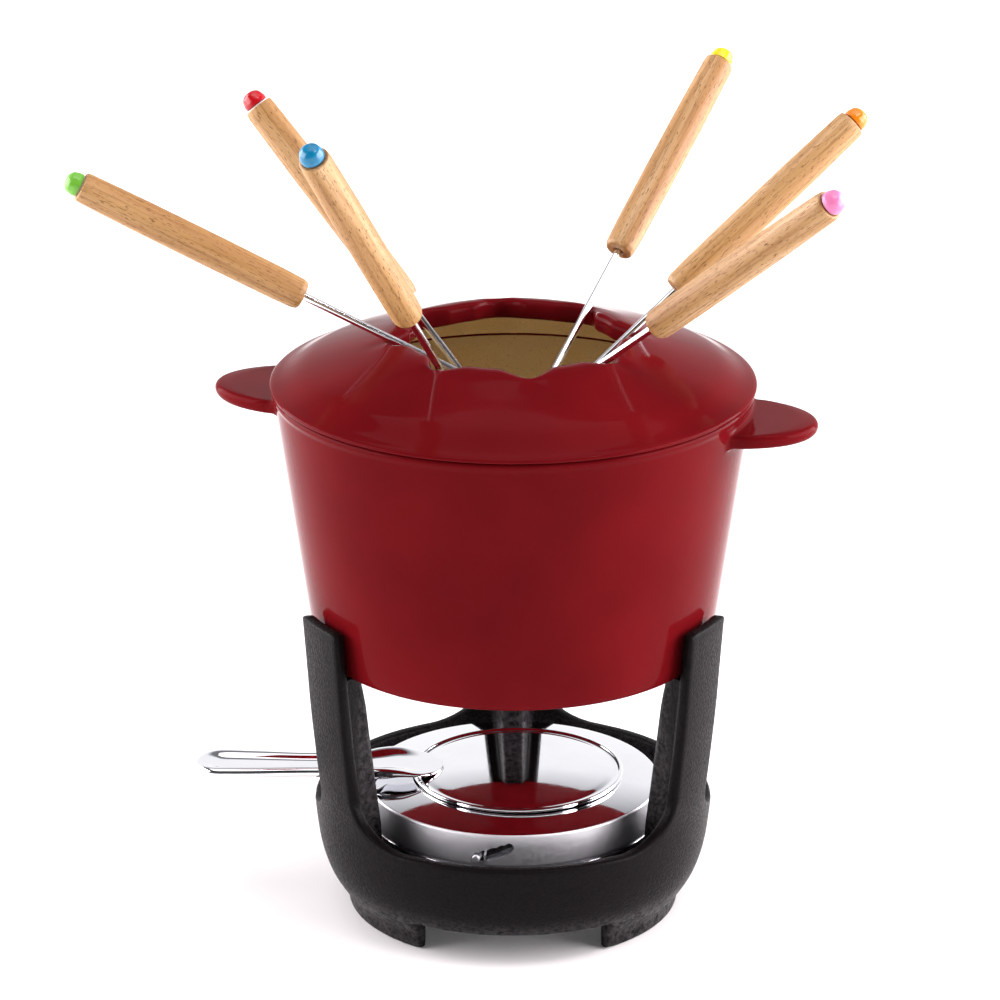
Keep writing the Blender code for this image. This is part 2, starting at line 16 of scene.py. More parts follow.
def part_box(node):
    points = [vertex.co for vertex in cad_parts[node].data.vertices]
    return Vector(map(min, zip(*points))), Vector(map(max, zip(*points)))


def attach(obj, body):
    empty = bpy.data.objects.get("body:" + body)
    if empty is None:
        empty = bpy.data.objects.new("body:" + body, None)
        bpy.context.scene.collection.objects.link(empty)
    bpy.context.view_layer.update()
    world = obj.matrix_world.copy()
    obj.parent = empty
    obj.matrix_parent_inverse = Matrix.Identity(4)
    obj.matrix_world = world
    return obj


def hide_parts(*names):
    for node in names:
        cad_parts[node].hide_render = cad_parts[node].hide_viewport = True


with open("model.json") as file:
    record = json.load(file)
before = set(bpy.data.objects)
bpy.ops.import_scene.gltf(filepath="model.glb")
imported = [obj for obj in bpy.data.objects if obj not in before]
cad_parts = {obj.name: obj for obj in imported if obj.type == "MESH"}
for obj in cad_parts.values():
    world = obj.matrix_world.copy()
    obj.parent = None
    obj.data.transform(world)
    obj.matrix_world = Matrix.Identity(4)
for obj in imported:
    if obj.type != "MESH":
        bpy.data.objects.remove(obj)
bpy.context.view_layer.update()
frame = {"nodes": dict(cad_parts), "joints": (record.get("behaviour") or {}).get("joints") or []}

# %% [markdown]
# The pot, the stand and the burner are all round, and they share one upright centreline.
# The burner's pan is a plain disc, so the middle of its box lies on that line.

# %% Find the centreline
MM = 0.001
TURN = 2 * math.pi
pan_low, pan_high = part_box("burner_pan")
AXIS_X = (pan_low.x + pan_high.x) / 2
AXIS_Y = (pan_low.y + pan_high.y) / 2
ON_AXIS = Matrix.Translation((AXIS_X, AXIS_Y, 0)) @ Matrix.Scale(MM, 4)
print(f"centreline at x {AXIS_X:.4f}, y {AXIS_Y:.4f}")

# %% [markdown]
# ## Camera and studio
# A long lens from two metres away keeps the ellipses of the rims flat, as in product pictures.
# The camera looks down by about twenty degrees, enough to see into the ring's mouth.

# %% Camera
LENS = 180
LOOK_DOWN = math.radians(20.08)
CAMERA_DISTANCE = 2.070
AIM = Vector((AXIS_X - 0.0055, AXIS_Y, 0.1776))

camera_data = bpy.data.cameras.new("studio_camera")
camera_data.lens = LENS
camera_data.sensor_width = 36
camera_data.clip_end = 50
camera = bpy.data.objects.new("studio_camera", camera_data)
bpy.context.scene.collection.objects.link(camera)
camera.location = AIM - CAMERA_DISTANCE * Vector((0, math.cos(LOOK_DOWN), -math.sin(LOOK_DOWN)))
camera.rotation_euler = (math.pi / 2 - LOOK_DOWN, 0, 0)
bpy.context.scene.camera = camera
bpy.context.scene.view_settings.view_transform = "Standard"
print("camera at", [round(value, 3) for value in camera.location])

# %% [markdown]
# Colours are written as the hex values a paint chart gives. Shaders work in linear light,
# so one function turns a hex value into linear numbers.
# A second one adds any node, with its settings, its colour stops and its links, in one line.

# %% Colour and node helpers
def colour(hex_value):
    """Turn an sRGB hex value into a linear colour."""
    parts = [int(hex_value[place:place + 2], 16) / 255 for place in (1, 3, 5)]
    linear = [part / 12.92 if part <= 0.04045 else ((part + 0.055) / 1.055) ** 2.4 for part in parts]
    return (*linear, 1.0)


def add(tree, kind, inputs=(), stops=(), **settings):
    """Add a node. Inputs are named in a dict, or in order. A socket, or a node's first
    output, is linked, and any other value is set. Stops are (place, hex colour) pairs."""
    made = tree.nodes.new(kind)
    for name, value in settings.items():
        setattr(made, name, value)
    marks = made.color_ramp.elements if stops else ()
    while len(marks) < len(stops):
        marks.new(0.5)
    for mark, (place, hex_value) in zip(marks, stops):
        mark.position = place
        mark.color = colour(hex_value)
    keyed = inputs.items() if isinstance(inputs, dict) else enumerate(inputs)
    for key, value in keyed:
        value = value.outputs[0] if isinstance(value, bpy.types.Node) else value
        if isinstance(value, bpy.types.NodeSocket):
            tree.links.new(value, made.inputs[key])
        else:
            made.inputs[key].default_value = value
    return made


def new_material(name):
    """An empty material. Returns it, its tree and its place in Object coordinates, in metres."""
    made = bpy.data.materials.new(name)
    made.use_nodes = True
    made.node_tree.nodes.clear()
    return made, made.node_tree, add(made.node_tree, "ShaderNodeTexCoord").outputs["Object"]


def surface(tree, **sockets):
    """Close a material with one Principled shader."""
    named = {key.replace("_", " "): value for key, value in sockets.items()}
    shader = add(tree, "ShaderNodeBsdfPrincipled", named)
    add(tree, "ShaderNodeOutputMaterial", {"Surface": shader})


# The kinds of node that come back most often, under shorter names.
NOISE, RAMP, BUMP = "ShaderNodeTexNoise", "ShaderNodeValToRGB", "ShaderNodeBump"
FADE, MIX, MATHS = "ShaderNodeMapRange", "ShaderNodeMix", "ShaderNodeMath"
VECTOR, VECTOR_MATHS = "ShaderNodeCombineXYZ", "ShaderNodeVectorMath"
SOFT = {"interpolation_type": "SMOOTHSTEP"}
print("red enamel in linear light:", [round(part, 3) for part in colour("#580a0f")])

# %% [markdown]
# The studio is a pale seamless floor with a large soft box on each side and one above, and
# a thin strip high at the front for a fine glint on the rims.
# Gloss enamel and polished steel only look right when they have something to mirror:
# white at the sides for long highlights, and a darker room in front for depth.

# %% Floor
FLOOR_SIZE = 14.0
floor_mesh = bpy.data.meshes.new("studio_floor")
half_floor = FLOOR_SIZE / 2
floor_mesh.from_pydata(
    [(-half_floor, -half_floor, 0), (half_floor, -half_floor, 0),
     (half_floor, half_floor, 0), (-half_floor, half_floor, 0)], [], [(0, 1, 2, 3)])
floor = bpy.data.objects.new("studio_floor", floor_mesh)
bpy.context.scene.collection.objects.link(floor)

paper, tree, place = new_material("seamless_paper")
drift = add(tree, NOISE, {"Vector": place, "Scale": 1 / 0.9, "Detail": 3, "Roughness": 0.55})
from_middle = add(tree, VECTOR_MATHS, (place,), operation="LENGTH").outputs["Value"]
# The paper is lit from below too, as a light table is, so it stays white far from the set.
surface(tree, Roughness=0.9, Specular_IOR_Level=0.1, Emission_Color=colour("#ffffff"),
        Base_Color=add(tree, RAMP, (drift,), ((0.3, "#f4f3f1"), (0.7, "#f8f7f6"))),
        Emission_Strength=add(tree, FADE, (from_middle, 0.45, 1.3, 0.03, 0.45), **SOFT))
floor_mesh.materials.append(paper)
print("floor is", FLOOR_SIZE, "m wide")

# %% Lights
# Name, place and size in metres, and power in watts.
SOFT_BOXES = (
    ("left_box", (-1.30, 0.10, 0.55), (2.0, 1.0), 40),
    ("right_box", (1.38, 0.00, 0.55), (2.0, 1.0), 56),
    ("top_box", (0.05, 0.20, 1.9), (2.0, 1.6), 14),
    ("strip_box", (0.75, -0.75, 2.0), (0.9, 0.10), 9),
)
LIGHTS_AIM = Vector((AXIS_X, AXIS_Y, 0.15))


def hang(name, kind, energy):
    """Put a lamp of one kind into the studio."""
    lamp = bpy.data.lights.new(name, kind)
    lamp.energy = energy
    hung = bpy.data.objects.new(name, lamp)
    bpy.context.scene.collection.objects.link(hung)
    return hung


for name, place, size, power in SOFT_BOXES:
    box = hang(name, "AREA", power)
    box.data.shape = "RECTANGLE"
    box.data.size, box.data.size_y = size
    box.data.color = (1.0, 0.94, 0.97)
    box.location = place
    box.rotation_euler = (LIGHTS_AIM - Vector(place)).to_track_quat("-Z", "Y").to_euler()
# An even light from above, as from a whole ceiling of lamps behind cloth.
ceiling = hang("ceiling", "SUN", 0.50)
ceiling.data.angle = math.radians(35)
ceiling.rotation_euler = (math.radians(10), math.radians(-4), 0)
print("soft boxes:", len(SOFT_BOXES))

# %% Room light: pale low walls behind and beside the set, and a dark room in front
room = bpy.data.worlds.new("studio_room")
bpy.context.scene.world = room
room.use_nodes = True
tree = room.node_tree
looking = add(tree, "ShaderNodeTexCoord").outputs["Generated"]
compass = add(tree, "ShaderNodeSeparateXYZ", (looking,)).outputs
wall_stops = ((0.0, "#fbfbfd"), (0.42, "#f2f2f5"), (0.62, "#77787d"), (1.0, "#6c6d71"))
walls = add(tree, RAMP, (compass["Z"],), wall_stops)
nearness = add(tree, FADE, (compass["Y"], -0.75, 0.10, 0.12, 1.12), **SOFT)
tree.links.new(walls.outputs["Color"], tree.nodes["Background"].inputs["Color"])
tree.links.new(nearness.outputs["Result"], tree.nodes["Background"].inputs["Strength"])
print("room light set")

# %% [markdown]
# ## Finishes
# **Gloss vitreous enamel** is coloured glass fused over iron. The glass is nearly smooth, but it
# pools and thins as it melts, so its surface has a very shallow orange peel and its colour is
# a little darker in some places. It mirrors strongly at glancing angles.

# %% Gloss red enamel
# The IOR is far below that of glass: the set stands on white paper, not among dark walls,
# and full reflections of it would wash the red out.
red_enamel, tree, place = new_material("gloss_red_vitreous_enamel")
clouds = add(tree, NOISE, {"Vector": place, "Scale": 1 / 0.060, "Detail": 2, "Roughness": 0.55})
pools = add(tree, NOISE, {"Vector": place, "Scale": 1 / 0.009, "Detail": 3, "Roughness": 0.55})
peel = add(tree, NOISE, {"Vector": place, "Scale": 1 / 0.005, "Detail": 1, "Roughness": 0.55})
surface(tree, IOR=1.09,
        Base_Color=add(tree, RAMP, (clouds,), ((0.35, "#580a0f"), (0.65, "#620d12"))),
        Roughness=add(tree, FADE, (pools, 0.3, 0.7, 0.05, 0.10), **SOFT),
        Normal=add(tree, BUMP, {"Height": peel, "Distance": 0.05 * MM, "Strength": 0.12}))
print("made", red_enamel.name)

# %% [markdown]
# **Sand enamel** lines the pot and the ring. It is a matter, pale glaze with fine dark specks,
# which hides the marks of spoons and forks.

# %% Sand enamel
sand_enamel, tree, place = new_material("satin_sand_enamel")
patches = add(tree, NOISE, {"Vector": place, "Scale": 1 / 0.030, "Detail": 3, "Roughness": 0.55})
dots = add(tree, NOISE, {"Vector": place, "Scale": 1 / 0.0006, "Detail": 2, "Roughness": 0.55})
sheen = add(tree, NOISE, {"Vector": place, "Scale": 1 / 0.004, "Detail": 3, "Roughness": 0.55})
glaze = add(tree, NOISE, {"Vector": place, "Scale": 1 / 0.0012, "Detail": 3, "Roughness": 0.55})
ground = add(tree, RAMP, (patches,), ((0.3, "#f3ddac"), (0.7, "#f9e8c2")))
specks = add(tree, FADE, (dots, 0.60, 0.74, 0.0, 0.6), **SOFT)
speckled = add(tree, MIX, {0: specks, 6: ground, 7: colour("#8d7148")}, data_type="RGBA")
surface(tree, IOR=1.5, Base_Color=speckled.outputs[2],
        Roughness=add(tree, FADE, (sheen, 0.3, 0.7, 0.28, 0.42), **SOFT),
        Normal=add(tree, BUMP, {"Height": glaze, "Distance": 0.06 * MM, "Strength": 0.25}))
print("made", sand_enamel.name)

# %% [markdown]
# **Matte black enamel on sand-cast iron** keeps the pebbled skin that the sand mould leaves.
# The outside is dressed, so its grain is fine. The ribs inside the arms are left
# as cast, and their grain is coarser and catches more light.

# %% Black cast iron
DRESSED_FROM = 0.0800    # metres from the centreline, where the dressed skin starts
CAST_UP_TO = 0.0765
black_iron, tree, place = new_material("matte_black_enamelled_cast_iron")
centred = add(tree, "ShaderNodeMapping", {"Vector": place, "Location": (-AXIS_X, -AXIS_Y, 0)})
flat = add(tree, VECTOR_MATHS, (centred, (1, 1, 0)), operation="MULTIPLY")
from_axis = add(tree, VECTOR_MATHS, (flat,), operation="LENGTH").outputs["Value"]
as_cast = add(tree, FADE, (from_axis, CAST_UP_TO, DRESSED_FROM, 1.0, 0.0), **SOFT)
fine = add(tree, NOISE, {"Vector": place, "Scale": 1 / 0.0011, "Detail": 2, "Roughness": 0.55})
coarse = add(tree, NOISE, {"Vector": place, "Scale": 1 / 0.0024, "Detail": 4, "Roughness": 0.7})
skin = add(tree, MIX, {0: as_cast, 2: fine, 3: coarse}, data_type="FLOAT")
dressed_tone = add(tree, RAMP, (skin,), ((0.30, "#080606"), (0.70, "#110e0f")))
cast_tone = add(tree, RAMP, (skin,), ((0.38, "#080708"), (0.60, "#353335")))
tone = add(tree, MIX, {0: as_cast, 6: dressed_tone, 7: cast_tone}, data_type="RGBA")
surface(tree, IOR=1.5, Specular_IOR_Level=0.06, Base_Color=tone.outputs[2],
        Roughness=add(tree, FADE, (skin, 0.3, 0.7, 0.50, 0.30), **SOFT),
        Normal=add(tree, BUMP, {"Height": skin, "Distance": 0.40 * MM, "Strength": 0.60}))
print("made", black_iron.name)

# %% [markdown]
# **Steel** comes in five skins here. The lid, the pan and the handle are polished and chromed:
# they mirror the pot and the studio, but pressing leaves very shallow waves and wiping leaves
# hair-fine marks. The forks' drawn wire is a little softer. The shell's side and the pin are
# satined on a lathe, so they blur what they mirror. The cup is plain drawn steel with a faint
# heat tint, and the gauze is grey woven wire.

# %% Steels
# Name, width of the tone's blotches and of the wiping marks in mm, darker and lighter tone,
# lowest and highest roughness.
STEELS = (
    ("polished_chromed_steel", 25, 3, "#eeeef1", "#f6f6f8", (0.3, 0.75, 0.03, 0.08)),
    ("polished_stainless_wire", 12, 1.5, "#e6e6e9", "#f2f2f4", (0.3, 0.7, 0.08, 0.16)),
    ("lathe_satined_steel", 20, 2, "#eaeaee", "#f4f4f8", (0.3, 0.7, 0.50, 0.58)),
    ("plain_drawn_steel", 18, 2, "#8d8a86", "#a5a29f", (0.3, 0.7, 0.28, 0.42)),
    ("woven_steel_wire", 6, 1, "#7f7a74", "#a19d99", (0.3, 0.7, 0.35, 0.5)),
)
# Where the surface is uneven: size of its waves in mm, detail, height in mm and strength.
STEEL_RELIEF = {"polished_chromed_steel": (14, 1, 0.05, 0.10), "plain_drawn_steel": (1.5, 3, 0.02, 0.2)}
steels = {}
for name, blotch, mark, dark, light, gloss in STEELS:
    steels[name], tree, place = new_material(name)
    cloud = add(tree, NOISE, {"Vector": place, "Scale": 1000 / blotch, "Detail": 3, "Roughness": 0.55})
    wiped = add(tree, NOISE, {"Vector": place, "Scale": 1000 / mark, "Detail": 3, "Roughness": 0.55})
    sockets = {"Base_Color": add(tree, RAMP, (cloud,), ((0.3, dark), (0.7, light))),
               "Roughness": add(tree, FADE, (wiped, *gloss), **SOFT)}
    if name in STEEL_RELIEF:
        wave, detail, height, strength = STEEL_RELIEF[name]
        waves = add(tree, NOISE, {"Vector": place, "Scale": 1000 / wave, "Detail": detail, "Roughness": 0.55})
        relief = {"Height": waves, "Distance": height * MM, "Strength": strength}
        sockets["Normal"] = add(tree, BUMP, relief)
    surface(tree, Metallic=1.0, **sockets)
mirror_steel, wire_steel, satin_steel, plain_steel, woven_wire = steels.values()
print("made", ", ".join(steels))

# %% [markdown]
# **Rubberwood** is pale, with wide soft bands, long streaks and many short dark pores that
# lie along the grain. The pattern has to run along each leaning handle, so every handle
# carries its own place along the grain as an attribute, and the material reads that.

# %% Rubberwood
# Noise drawn out along the handle: its scale across, across and along, per metre, and detail.
WOOD_LAYERS = {"bands": ((150, 150, 7), 2), "streaks": ((900, 900, 24), 3), "pores": ((2600, 2600, 330), 1)}
rubberwood, tree = new_material("oiled_rubberwood")[:2]
along = add(tree, "ShaderNodeAttribute", attribute_name="grain_place").outputs["Vector"]
layer = {}
for name, (scale, detail) in WOOD_LAYERS.items():
    squeezed = add(tree, "ShaderNodeMapping", {"Vector": along, "Scale": scale})
    layer[name] = add(tree, NOISE, {"Vector": squeezed, "Scale": 1.0, "Detail": detail})
bands = add(tree, RAMP, (layer["bands"],), ((0.30, "#9b6f3c"), (0.50, "#b08856"), (0.72, "#c6a47b")))
streaks = add(tree, FADE, (layer["streaks"], 0.45, 0.70, 0.0, 0.65), **SOFT)
streaked = add(tree, MIX, {0: streaks, 6: bands, 7: colour("#875a2a")}, data_type="RGBA").outputs[2]
pores = add(tree, FADE, (layer["pores"], 0.61, 0.69, 0.0, 0.85), **SOFT)
with_pores = add(tree, MIX, {0: pores, 6: streaked, 7: colour("#653d1a")}, data_type="RGBA").outputs[2]
hollows = add(tree, MATHS, (1.0, pores), operation="SUBTRACT")
surface(tree, IOR=1.45, Base_Color=with_pores,
        Roughness=add(tree, FADE, (pores, 0.0, 1.0, 0.46, 0.75), **SOFT),
        Normal=add(tree, BUMP, {"Height": hollows, "Distance": 0.12 * MM, "Strength": 0.4}))
print("made", rubberwood.name)

# %% [markdown]
# **Moulded gloss plastic** makes the end caps. Each guest keeps one colour.
# Soft plastic lets a little light in, and its gloss is slightly uneven.

# %% Cap colours
# Each colour, and the slightly darker one that it drifts to.
CAP_COLOURS = {
    "orange": ("#df7c14", "#cf7312"), "yellow": ("#e2cc10", "#d2bd0e"), "red": ("#b20d19", "#a50c17"),
    "green": ("#6bae37", "#63a133"), "blue": ("#0a759e", "#096c92"), "pink": ("#df7aaa", "#cf719e"),
}
cap_plastics = {}
for name, (light, dark) in CAP_COLOURS.items():
    cap_plastics[name], tree, place = new_material(f"moulded_{name}_plastic")
    swirl = add(tree, NOISE, {"Vector": place, "Scale": 1 / 0.005, "Detail": 3, "Roughness": 0.55})
    rubbed = add(tree, NOISE, {"Vector": place, "Scale": 1 / 0.0015, "Detail": 3, "Roughness": 0.55})
    surface(tree, IOR=1.49, Subsurface_Weight=0.08,
            Subsurface_Radius=(0.002, 0.001, 0.001), Subsurface_Scale=1.0,
            Base_Color=add(tree, RAMP, (swirl,), ((0.3, dark), (0.7, light))),
            Roughness=add(tree, FADE, (rubbed, 0.3, 0.7, 0.14, 0.24), **SOFT))
print("cap colours:", ", ".join(cap_plastics))

# %% [markdown]
# **Mineral fibre** is a felt of fine white threads, so it is quite matt and lumpy.

# %% Mineral fibre
mineral_fibre, tree, place = new_material("white_mineral_fibre")
tufts = add(tree, NOISE, {"Vector": place, "Scale": 1 / 0.003, "Detail": 5, "Roughness": 0.7})
threads = add(tree, NOISE, {"Vector": place, "Scale": 1 / 0.0012, "Detail": 5, "Roughness": 0.75})
surface(tree, Roughness=0.95,
        Base_Color=add(tree, RAMP, (tufts,), ((0.3, "#cfc8b8"), (0.7, "#efebe0"))),
        Normal=add(tree, BUMP, {"Height": threads, "Distance": 0.6 * MM, "Strength": 0.8}))
print("made", mineral_fibre.name)

# %% [markdown]
# ## Shaping helpers
# Nearly every piece here is round, so most shapes start as a section: a line of
# (radius, height) points in millimetres. Real castings and pressings have no sharp
# corners, so a helper eases each corner of a section with a small arc.

# %% Sections
def eased(points, at):
    """Read a smooth curve through (place, value) points, without overshoot."""
    places = [point[0] for point in points]
    values = [point[1] for point in points]
    if at <= places[0]:
        return values[0]
    if at >= places[-1]:
        return values[-1]
    rises = [(values[k + 1] - values[k]) / (places[k + 1] - places[k]) for k in range(len(places) - 1)]

    def slope(k):
        if k == 0 or k == len(rises):
            return rises[min(k, len(rises) - 1)]
        before, after = rises[k - 1], rises[k]
        return 0.0 if before * after <= 0 else 2 * before * after / (before + after)

    k = bisect.bisect_right(places, at) - 1
    width = places[k + 1] - places[k]
    t = (at - places[k]) / width
    start = (1 + 2 * t) * (1 - t) ** 2 * values[k] + t * (1 - t) ** 2 * width * slope(k)
    return start + t * t * (3 - 2 * t) * values[k + 1] + t * t * (t - 1) * width * slope(k + 1)


def eased_corners(corners, closed=False, steps=5):
    """Join (x, y, rounding) corners by lines and ease each one with an arc."""
    path = []
    count = len(corners)
    for number, (x, y, rounding) in enumerate(corners):
        here = Vector((x, y))
        if rounding <= 0 or (not closed and number in (0, count - 1)):
            path.append((x, y))
            continue
        before = Vector(corners[number - 1][:2]) - here
        after = Vector(corners[(number + 1) % count][:2]) - here
        half = before.angle(after) / 2
        cut = min(rounding / math.tan(half), before.length * 0.49, after.length * 0.49)
        radius = cut * math.tan(half)
        middle = here + (before.normalized() + after.normalized()).normalized() * radius / math.sin(half)
        first = here + before.normalized() * cut - middle
        last = here + after.normalized() * cut - middle
        start = math.atan2(first.y, first.x)
        sweep = (math.atan2(last.y, last.x) - start + math.pi) % TURN - math.pi
        for step in range(steps + 1):
            turn = start + sweep * step / steps
            path.append((middle.x + radius * math.cos(turn), middle.y + radius * math.sin(turn)))
    return path


print("a square corner eased by 1 mm has", len(eased_corners([(0, 0, 0), (5, 0, 1), (5, 5, 0)])), "points")

# %% [markdown]
# Turning a section round the centreline gives a closed shell. A section that starts and
# ends on the line closes at two poles. A section that doesn't is a loop, as for a ring.

# %% Turning and finishing a mesh
def patch(made, *corners):
    """Add a face. At a pole two corners are one point, so the face is a triangle there."""
    different = list(dict.fromkeys(corners))
    return made.faces.new(different) if len(different) > 2 else None


def quads(made, first, second):
    """Join two rows of points with the same length by quads."""
    for k in range(len(first) - 1):
        made.faces.new((first[k], second[k], second[k + 1], first[k + 1]))


def tube(made, loops):
    """Join closed loops of points, one after another, and close both ends."""
    made.faces.new(loops[0])
    made.faces.new(loops[-1])
    for here, there in zip(loops, loops[1:]):
        quads(made, here + here[:1], there + there[:1])
    return made


def turned(path, segments=160):
    """Turn a section round Z. Points at radius 0 become poles."""
    made = bmesh.new()
    rings = []
    angles = [TURN * k / segments for k in range(segments)]
    for radius, height in path:
        if radius < 1e-6:
            rings.append([made.verts.new((0, 0, height))] * segments)
            continue
        places = [(radius * math.cos(angle), radius * math.sin(angle), height) for angle in angles]
        rings.append([made.verts.new(place) for place in places])
    on_axis = path[0][0] < 1e-6 and path[-1][0] < 1e-6
    pairs = list(zip(rings, rings[1:])) + ([] if on_axis else [(rings[-1], rings[0])])
    for low_ring, high_ring in pairs:
        for k in range(segments):
            after = (k + 1) % segments
            patch(made, low_ring[k], low_ring[after], high_ring[after], high_ring[k])
    return made


def to_piece(name, made, finishes, place=ON_AXIS, sharp_degrees=40):
    """Turn a bmesh in millimetres into a finished piece at the origin."""
    bmesh.ops.recalc_face_normals(made, faces=made.faces)
    made.transform(place)
    mesh = bpy.data.meshes.new(name)
    made.to_mesh(mesh)
    made.free()
    for material in finishes:
        mesh.materials.append(material)
    mesh.shade_smooth()
    mesh.set_sharp_from_angle(angle=math.radians(sharp_degrees))
    piece = bpy.data.objects.new(name, mesh)
    bpy.context.scene.collection.objects.link(piece)
    return piece


def combine(piece, tool, operation):
    """Join a closed tool to a piece, or cut it out, for good. The tool is then removed."""
    step = piece.modifiers.new("combine", "BOOLEAN")
    step.operation = operation
    step.solver = "EXACT"
    step.object = tool
    bake(piece)
    bpy.data.objects.remove(tool, do_unlink=True)


def bake(piece):
    """Swap a piece's mesh for what its modifiers give, and drop the modifiers."""
    bpy.context.view_layer.update()
    seen = piece.evaluated_get(bpy.context.evaluated_depsgraph_get())
    done = bpy.data.meshes.new_from_object(seen)
    piece.modifiers.clear()
    piece.data = done
    return piece


def settle(piece, body, finish_slot, *cad_nodes):
    """Hand a finished piece to the frame: hide the CAD parts that it stands for and attach it to its body.
    The finish slot is not used.
    """
    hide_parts(*cad_nodes)
    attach(piece, body)
    faces = len(piece.data.polygons)
    print(f"{piece.name}: {faces} faces, rides on {body}")


# %% [markdown]
# ## Stand
# The stand is one iron casting: a bowl for the burner, three arms that hold the pot and
# three feet, with an open window between each two arms. It could be cut out of a turned
# shell, but then its edges would stay sharp. Here the wall is laid out as a grid of columns
# that follow the windows and the foot arches, and its rims are closed with a rounded strip.

# %% Stand sizes, in millimetres and degrees
RIM_BULGE = 1.3          # the rounded rim stands this far proud, so every edge is set back by it
ARM_HALF_ANGLE = 8.3
ARM_TOP = 140.0 - RIM_BULGE
ARM_ROOT = 64.7
WINDOW_SILL = 47.0 - RIM_BULGE
FILLET_ANGLE = 18.0
FOOT_HALF_ANGLE = 25.4
ARCH_SPRING = 12.6
ARCH_TOP = 14.6 + RIM_BULGE
LEDGE = 116.1
ABOVE_LEDGE = 117.3
WALL_OUTSIDE = ((0, 69.6), (6, 70.0), (10.5, 73.6), (19, 78.4), (30, 81.6), (42, 83.2), (50, 84.0),
                (63, 86.2), (80, 88.2), (100, 90.2), (122, 91.8), (140, 93.2))
WALL_INSIDE = ((22, 71.6), (32, 76.4), (47, 78.4), (60, 80.4),
               (80, 82.8), (100, 84.8), (120, 86.5), (140, 88.2))
RIB_DEPTH = ((18, 0), (20, 0.6), (24, 6), (32, 11.5), (62, 13), (100, 12.6), (LEDGE, 11))
# Across one arm: distance from its middle, and how much of the rib's depth is there.
RIB_ACROSS = ((11.9, 0), (10.3, 0), (8.9, 0), (7.9, 0.05), (7.2, 0.18),
              (5.6, 0.80), (4.9, 0.94), (3.9, 1), (2, 1), (0, 1))


def one_third():
    """Columns of one third of the stand, from one arm's edge round to the next arm."""
    columns = []
    for side in (-1, 1):
        stations = RIB_ACROSS if side < 0 else RIB_ACROSS[-2::-1]
        for across, share in stations:
            angle = side * ARM_HALF_ANGLE * across / RIB_ACROSS[0][0]
            columns.append({"angle": angle, "arm": True, "foot": True, "across": side * across,
                            "share": share, "top": ARM_ROOT, "low": ARCH_SPRING})
    half = 60 - ARM_HALF_ANGLE
    turns = [half - FILLET_ANGLE * (1 - math.cos(math.radians(9 * k))) for k in range(1, 11)]
    arch_half = 60 - FOOT_HALF_ANGLE
    turns += [arch_half, arch_half - 0.9, arch_half - 2.6]
    turns += [26 - 2.6 * k for k in range(11)]
    turns = sorted({round(turn, 3) for turn in turns}, reverse=True)
    window = []
    for turn in turns:
        reach = min(1.0, max(0.0, (half - turn) / FILLET_ANGLE))
        top = WINDOW_SILL + (ARM_ROOT - WINDOW_SILL) * (1 - math.sqrt(1 - (1 - reach) ** 2))
        inside = arch_half - turn
        rise = 0.0 if inside < 0 else math.sqrt(max(0.0, 1 - (1 - min(1.0, inside / 2.6)) ** 2))
        window.append({"angle": 60 - turn, "arm": False, "foot": turn >= arch_half - 1e-6, "across": 0,
                       "share": 0, "top": top, "low": ARCH_SPRING + (ARCH_TOP - ARCH_SPRING) * rise})
    mirrored = [dict(column, angle=120 - column["angle"]) for column in reversed(window[:-1])]
    return columns + window + mirrored


print("columns in one third of the stand:", len(one_third()))

# %% Grid of the stand's wall
BOWL_CORNER = 22         # where the bowl's inner wall starts, above its floor
FLOOR_EDGE = 65.0
# Radius and height, from the wall's foot over the floor, round its middle hole and back below it.
BOWL_FLOOR = ((69.0, 19.3), (66.0, 18.0), (54.0, 18.0), (42.0, 18.0), (40.6, 17.4),
              (40.0, 16.0), (40.6, 14.6), (42.0, 14.0), (54.0, 14.0))
FOOT_ROWS = (RIM_BULGE, 4, 7, 10)
BODY_ROWS = 16
ARM_ROWS = (70, 75, 81, 88, 95, 102, 108, 112.5, LEDGE, ABOVE_LEDGE, 120, 124, 130, 134.5, ARM_TOP)


def polar(radius, degrees, height):
    turn = math.radians(degrees)
    return Vector((radius * math.cos(turn), radius * math.sin(turn), height))


def wall_place(column, arm_angle, height, outside):
    """Where one point of the stand's outer or inner wall lies."""
    if outside:
        return polar(eased(WALL_OUTSIDE, height), arm_angle + column["angle"], height)
    radius = eased(WALL_INSIDE, height)
    if not column["arm"]:
        return polar(radius, arm_angle + column["angle"], height)
    depth = 0.0 if height > LEDGE else eased(RIB_DEPTH, height) * column["share"]
    if height == ABOVE_LEDGE and column["share"] > 0:
        height = LEDGE          # behind the ledge's step, so that the ledge is level
    across = column["across"]
    along = math.sqrt(radius ** 2 - across ** 2) - depth
    turn = math.radians(arm_angle)
    return (along * math.cos(turn) - across * math.sin(turn),
            along * math.sin(turn) + across * math.cos(turn), height)


def wall_line(made, column, arm_angle, heights, outside):
    """The points of one column of a wall, from the lowest up."""
    return [made.verts.new(wall_place(column, arm_angle, height, outside)) for height in heights]


